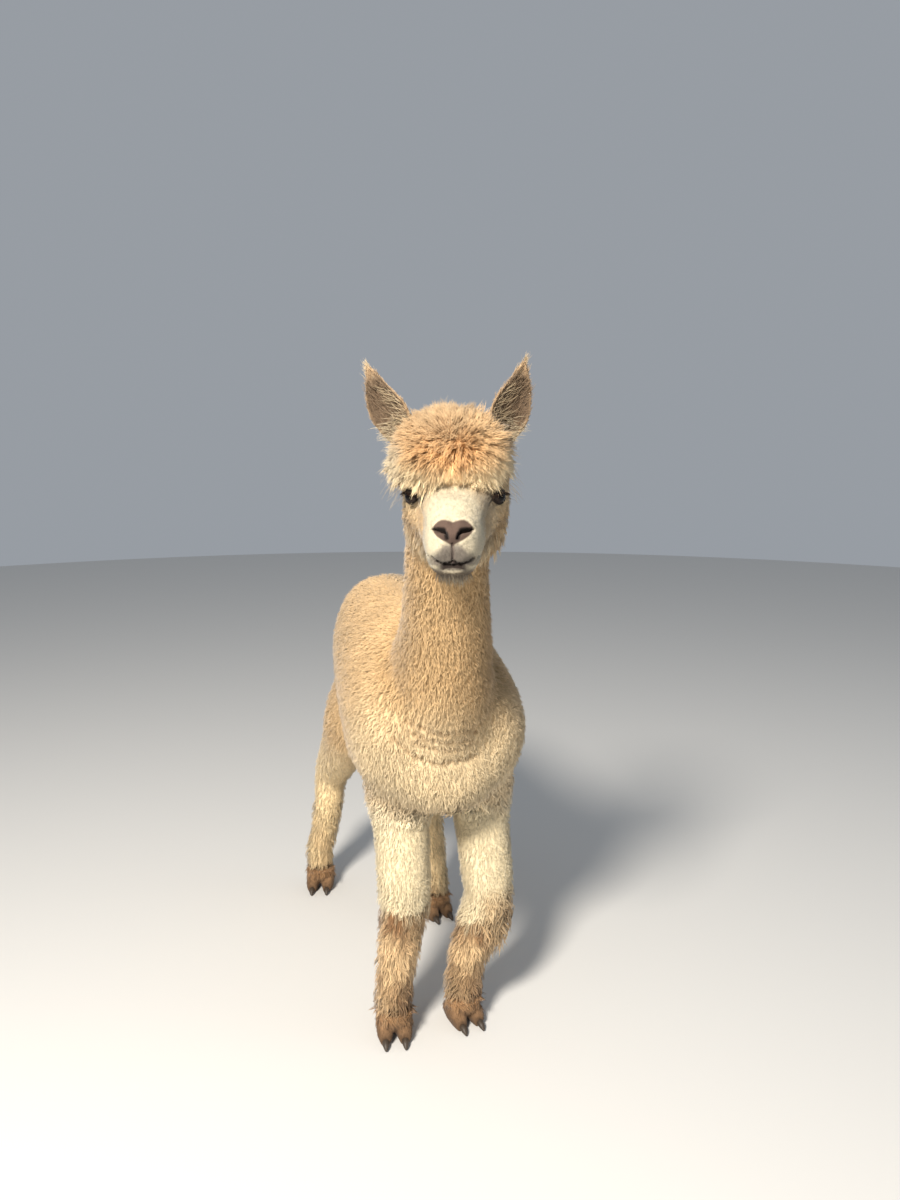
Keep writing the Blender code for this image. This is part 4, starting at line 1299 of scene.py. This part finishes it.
def strandPiece(name, slot, finish, strands, ups, radii, tints, tube, clumpShades, tip="fringeTip",
                tipShare=0.0, roundness=0.62):
    count, knots, _ = strands.shape
    flats = np.stack([rng.uniform(0, 0.6, count), np.full(count, 0.4)], axis=1)
    mesh = strandMesh(name, [(strands, radii, ups, rng.uniform(-1, 1, count), flats)])
    t = np.linspace(0, 1, knots)
    mix = (ease(0.4, 1.0, np.append(np.repeat(t[:-1], 3), t[-1])) * tipShare)[:, None]
    writeAttribute(mesh, "tint", "FLOAT_VECTOR", tints[:, None] * (1 - mix) + wool[tip] * mix)
    per = len(mix)
    writeAttribute(mesh, "lockShade", "FLOAT", np.repeat(clumpShades, per))
    root = unwrapped(strands[:, 0], np.full(count, tubeNames.index(tube)))
    patch = column(mesh.attributes["patch"].data, "vector", 3)[:, :2] * patchSize
    corner = column(mesh.loops, "vertex_index", 1, np.int32)
    flat = (np.repeat(root, per, axis=0) + patch)[corner]
    mesh.uv_layers.new(name="OFBake").data.foreach_set("uv", flat.astype(np.float32).ravel())
    mesh.attributes.remove(mesh.attributes["patch"])
    soft = unit(normals(mesh) * (1 - roundness) + np.repeat(ups, per, axis=0) * roundness)
    mesh.normals_split_custom_set_from_vertices(soft)
    mesh.materials.append(finishes[finish])
    addPiece(name, slot, mesh)


def layClumps(name, kind, chosen, wayAt, tip, tipShare, slot="crown", finish="crownLocks", tube="crown"):
    size = strandSize[kind]
    roots, ups, tints = scatter(chosen, size["spacing"])
    lengths = rng.uniform(*size["length"], len(roots))
    heights = rng.uniform(*size["height"], len(roots))
    _, side, up = toHead(roots).T
    wide = np.abs(side)
    if kind == "fringe":
        lengths *= (0.34 + 0.66 * ease(0.012, 0.050, wide)) * rng.uniform(0.7, 1.3, len(roots))
        lengths *= 1 - 0.30 * ease(0.052, 0.068, wide)
    if kind == "crown":
        temple = ease(0.055, 0.075, wide)
        heights *= 1 - 0.30 * ease(0.075, 0.040, up) - 0.22 * temple * ease(0.110, 0.085, up)
        middle = ease(0.034, 0.010, wide) * ease(0.088, 0.062, up)
        lengths *= (1 - 0.45 * ease(0.066, 0.042, up)) * (1 - 0.35 * middle)
    paths = raisedPaths(roots - ups * strandSink, ups, wayAt(roots), lengths, heights, size["knots"])
    strands, radii = clumpStrands(paths, ups, size)
    ups, tints, shades = (np.repeat(v, size["strands"], axis=0) for v in (ups, tints, rng.random(len(roots))))
    strandPiece(name, slot, finish, strands, ups, radii, tints, tube, shades, tip, tipShare)


def crownFall(place):  # the fringe sweeps to the sides and wanders
    side = toHead(place)[:, 1:2]
    outwards = np.sign(side) * ease(0.004, 0.030, np.abs(side)) * np.array(headLeft)
    return crownWay(toHead(place)) + 0.22 * outwards + swirl(place, 80) * 0.45 + np.array([0, 0, 0.22])


def crownRaise(place):
    nearWhorl = np.linalg.norm(toHead(place) - np.array(lieSize["whorl"]), axis=1, keepdims=True)
    return crownWay(toHead(place)) + swirl(place, 90) * (0.34 + 1.1 * ease(0.034, 0.010, nearWhorl))


def straight(*way):
    return lambda place: np.tile(way, (len(place), 1))


def layAllClumps():
    local = toHead(skinPlaces)
    forward, side, up = local.T
    isCrown, isCheek, isFace = (inParts(skinPart, name) for name in ("crown", "cheeks", "face"))
    frontRim = isCrown & (forward > -0.020) & (up < 0.070)
    loose = isCrown | (isCheek & (np.abs(side) > 0.05) & (up > -0.01))
    jaw = (isCheek | isFace) & (up < -0.050) & (forward > -0.015) & (forward < 0.118)
    underChin = isFace & (frontHeight(local) < -0.142) & (forward > 0.130) & (up < -0.045)
    layClumps("topknotRight", "crown", isCrown & (side < 0), crownRaise, "fringe", 0.30)
    layClumps("topknotLeft", "crown", isCrown & (side >= 0), crownRaise, "fringe", 0.30)
    layClumps("fringeLocks", "fringe", frontRim, crownFall, "fringeTip", 0.8)
    layClumps("looseHairs", "flyaway", loose, crownRaise, "fringeTip", 0.7)
    layClumps("jawLocks", "jaw", jaw, straight(0.0, 0.05, -1.0), "fringeTip", 0.6,
              "face", "cheekLocks", "head")
    layClumps("chinBristles", "bristle", underChin, straight(0.05, -0.30, -0.95), "earBase", 0.7,
              "face", "shortHair", "head")


layAllClumps()


# Hairs laid one by one: the ears' inner fringes and tips, and the lashes

hairSize = {"knots": 5, "inEar": 420, "onEarFoot": 560, "onEarTip": 110, "earRadius": 0.00050,
            "lashes": 70, "lashFrom": 15, "lashTo": 172, "lashRadius": 0.00042}  # degrees round the eye


def earHairPaths(side):
    axis, hollow, across = (np.array(way) for way in earFrame(side)[1:])
    inward = 1 if across @ np.array(headLeft) * side < 0 else -1
    paths, tints, steps = [], [], np.linspace(0, 1, hairSize["knots"])[:, None]

    def spot(t, far, reach, rise=0.0):  # on the hollow's floor, or this much above it
        middle, wide, depth = earMiddle(side, t)
        floor = depth * (0.4 - math.sqrt(max(1 - far * far, 0)))
        return np.array(middle) + across * reach * wide + hollow * (floor + rise)

    for _ in range(hairSize["inEar"]):  # from the ear's rims and floor, along it and out over the hollow
        t, reach, far = rng.uniform(-0.05, 0.78), rng.uniform(0.018, 0.036), rng.uniform(-0.9, 0.95)
        pale = far > rng.uniform(0.1, 0.6) and t < 0.62
        out = axis * rng.uniform(0.5, 1.0) - across * inward * rng.uniform(0.0, 0.55) * (1.6 if pale else 0.5)
        out = out - axis * (rng.uniform(0.6, 1.3) if t < 0.12 else 0)
        over = hollow * reach * 0.30 * np.sin(steps * 2.3)
        paths.append(spot(t, far, inward * far, 0.002) + out * reach * steps * (1 - 0.45 * t) + over)
        tints.append(wool["earHair"] if pale else wool["earStreak"])
    for _ in range(hairSize["onEarFoot"]):  # pale fluff
        t, far = rng.uniform(-0.24, 0.26) * rng.uniform(0.5, 1), rng.uniform(-1.0, 1.0)
        start = spot(t, far, far * 0.95, rng.uniform(0.001, 0.008))
        out = axis * rng.uniform(0.3, 0.9) + across * (0.45 * far + rng.normal(0, 0.22))
        out = out + hollow * rng.uniform(0.2, 0.6)
        paths.append(start + out * rng.uniform(0.012, 0.026) * steps - np.array([0, 0, 0.005]) * steps ** 2)
        tints.append(wool["earBase"])
    for _ in range(hairSize["onEarTip"]):  # a wispy tip
        middle, wide, _ = earMiddle(side, rng.uniform(0.80, 1.0))
        start = np.array(middle) + across * wide * rng.uniform(-0.9, 0.9)
        out = axis + across * rng.normal(0, 0.16) + hollow * rng.normal(0, 0.10)
        paths.append(start + out * rng.uniform(0.006, 0.021) * steps)
        tints.append(wool["earHair"])
    return np.array(paths), np.tile(hollow, (len(paths), 1)), np.array(tints)


def lashPaths(side):
    middle, nose, up, out = eyeFrame(side)
    paths, steps = [], np.linspace(0, 1, hairSize["knots"])[:, None]
    for turn in np.radians(rng.uniform(hairSize["lashFrom"], hairSize["lashTo"], hairSize["lashes"])):
        (reach,), (bearing,) = slitAngle(np.array([turn]))
        way = eyeWay(side, bearing, reach + rng.uniform(0.02, 0.10))
        start = np.array(middle + way * (eyeSize["radius"] + 0.0006))
        ahead = np.array(way * 0.75 + out * 0.5 - up * 0.25 + (nose * math.cos(bearing)) * 0.35)
        length = rng.uniform(0.005, 0.0095)
        paths.append(start + ahead * length * steps - np.array(up) * 0.35 * length * steps ** 2)
    return np.array(paths), np.tile(up, (len(paths), 1)), np.tile(wool["lash"], (len(paths), 1))


def layHairs(name, slot, finish, pathsOf, radius, tubesOf):
    made = [pathsOf(side) for side in sides]
    for word, tube, (paths, ups, tints) in zip(("Right", "Left"), tubesOf, made):
        count, knots, _ = paths.shape
        taper = np.interp(np.linspace(0, 1, knots), [0, 0.5, 1], [1, 0.8, 0])
        radii = radius * rng.uniform(0.7, 1.2, (count, 1)) * taper
        shades = rng.random(count)
        strandPiece(name + word, slot, finish, paths, ups, radii, tints, tube, shades, roundness=0.35)


layHairs("earFringe", "ears", "shortHair", earHairPaths, hairSize["earRadius"], earNames)
layHairs("lashes", "face", "darkLashes", lashPaths, hairSize["lashRadius"], ("head", "head"))

for group in lockGroups.values():
    for obj in list(group.objects):
        bpy.data.objects.remove(obj, do_unlink=True)
    bpy.data.collections.remove(group)
print("coat faces in all:", sum(len(piece.data.polygons) for piece in coatPieces))


# The eyes: a ball with a clear bulge in front, dark brown round a level pupil

eyeball = {"around": 56, "rings": 40, "iris": 0.60, "bulge": 0.0013, "pupil": (0.0088, 0.0044),
           "inset": 0.0004}


def makeEyes():
    bm, spots = bmesh.new(), []
    for side in sides:
        middle, loops = eyeFrame(side)[0], []
        for i in range(eyeball["rings"] + 1):
            off = math.pi * (i / eyeball["rings"]) ** 1.4
            bulge = eyeball["bulge"] * float(ease(eyeball["iris"] * 1.1, 0.0, off))
            far, loop = eyeSize["radius"] - eyeball["inset"] + bulge, []
            for k in range(eyeball["around"] if 0 < i < eyeball["rings"] else 1):
                turn = k * 2 * math.pi / eyeball["around"]
                loop.append(bm.verts.new(middle + eyeWay(side, turn, off) * far))
                out = math.sin(off)
                spots.append((math.cos(turn) * out * far, math.sin(turn) * out * far, off))
            loops.append(loop)
        bridge(bm, loops)
    bmesh.ops.recalc_face_normals(bm, faces=bm.faces)
    eyes = fromBmesh("eyes", bm)
    eyes.data.shade_smooth()
    x, y, off = np.array(spots).T
    inIris = ease(eyeball["iris"] + 0.05, eyeball["iris"] - 0.03, off)
    inPupil = ease(1.12, 0.92, np.hypot(x / eyeball["pupil"][0], y / eyeball["pupil"][1]))
    tints = washed(np.tile(wool["eyeWhite"], (len(off), 1)), ("iris", inIris), ("pupil", inPupil))
    writeAttribute(eyes.data, "tint", "FLOAT_VECTOR", tints)
    finish, tree, shader = newFinish("wetEye", 0.16, 0.14)
    fibres = rescaled(tree, noise(tree, 900.0, 2.0), 0.7, 1.3, 0.3, 0.7)
    fill(tree, shader, {"Coat Weight": 0.06, "Coat Roughness": 0.03,
                        "Base Color": scaledColour(tree, attribute(tree, "tint"), fibres)})
    eyes.data.materials.append(finish)
    return eyes


# The nails: the CAD's, rounded off and ridged

def makeNails():
    nails = applied(grownCopy(nailNames, 0.0), ("SUBSURF", {"levels": 2, "render_levels": 2}))
    nails.name = nails.data.name = "nails"
    nails.data.shade_smooth()
    finish, tree, shader = newFinish("horn", 0.5, 0.4)
    grain = noise(tree, 240.0, 4.0, 0.7)
    colour = blended(tree, "RGBA", grain, (*wool["nailDark"], 1), (*wool["nailPale"], 1))
    fill(tree, shader, {"Base Color": colour, "Normal": bumpOf(tree, grain, 0.6, 0.0008)})
    nails.data.materials.clear()
    nails.data.materials.append(finish)
    return nails


nailNames = sorted(name for name in nodes if name.startswith("nail_"))
eyes, nails = makeEyes(), makeNails()
print("eyes and nails:", len(eyes.data.polygons), len(nails.data.polygons), "faces")


# Floor, light and camera

floorSize = {"radius": 9.0, "segments": 96}
lamps = {
    # azimuth and height in degrees, distance, width, power, colour
    "key": (-37.0, 39.0, 4.2, 0.9, 330.0, (1.0, 0.94, 0.85)),
    "fill": (70.0, 25.0, 4.5, 3.0, 14.0, (0.86, 0.93, 1.0)),
}
lampAim = (0, 0, 0.75)
sky = {"Color": (0.78, 0.84, 0.92, 1), "Strength": 0.40}
cameraPlace = {"fromHead": (-0.466, -1.545, 0.075), "turn": -16.4, "down": 9.8, "lens": 27.0, "sensor": 36.0}


def makeFloor():
    bm = bmesh.new()
    bmesh.ops.create_circle(bm, cap_ends=True, **floorSize)
    floor = fromBmesh("floor", bm)
    finish, tree, shader = newFinish("paleFloor", 0.9, 0.5)
    fill(tree, shader, {"Base Color": (0.66, 0.65, 0.63, 1)})
    floor.data.materials.append(finish)


def makeLights():
    for name, (azimuth, height, distance, width, power, tint) in lamps.items():
        light = bpy.data.lights.new(name, "AREA")
        light.shape, light.size, light.energy, light.color = "DISK", width, power, tint
        lamp = newObject(name, light)
        a, h = math.radians(azimuth), math.radians(height)
        way = Vector((math.sin(a) * math.cos(h), -math.cos(a) * math.cos(h), math.sin(h)))
        lamp.location = Vector(lampAim) + way * distance
        lamp.rotation_euler = (-way).to_track_quat("-Z", "Y").to_euler()
    world = bpy.data.worlds.new("studio")
    world.use_nodes = True
    fill(world.node_tree, world.node_tree.nodes["Background"], sky)
    bpy.context.scene.world = world
    bpy.context.scene.view_settings.view_transform = "Standard"


def makeCamera():
    data = bpy.data.cameras.new("camera")
    data.lens, data.sensor_width, data.sensor_fit = cameraPlace["lens"], cameraPlace["sensor"], "AUTO"
    camera = newObject("camera", data)
    camera.location = headMiddle + Vector(cameraPlace["fromHead"])
    turn, down = math.radians(cameraPlace["turn"]), math.radians(cameraPlace["down"])
    camera.rotation_euler = (math.pi / 2 - down, 0, turn)
    bpy.context.scene.camera = camera


makeFloor()
makeLights()
makeCamera()
fleshNodes = bodyNames + footNames + earNames
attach(skin, "root")
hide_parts(*fleshNodes)
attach(eyes, "root")
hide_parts("eye_left", "eye_right")
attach(nails, "root")
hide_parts(*nailNames)
for piece in coatPieces:
    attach(piece, "root")
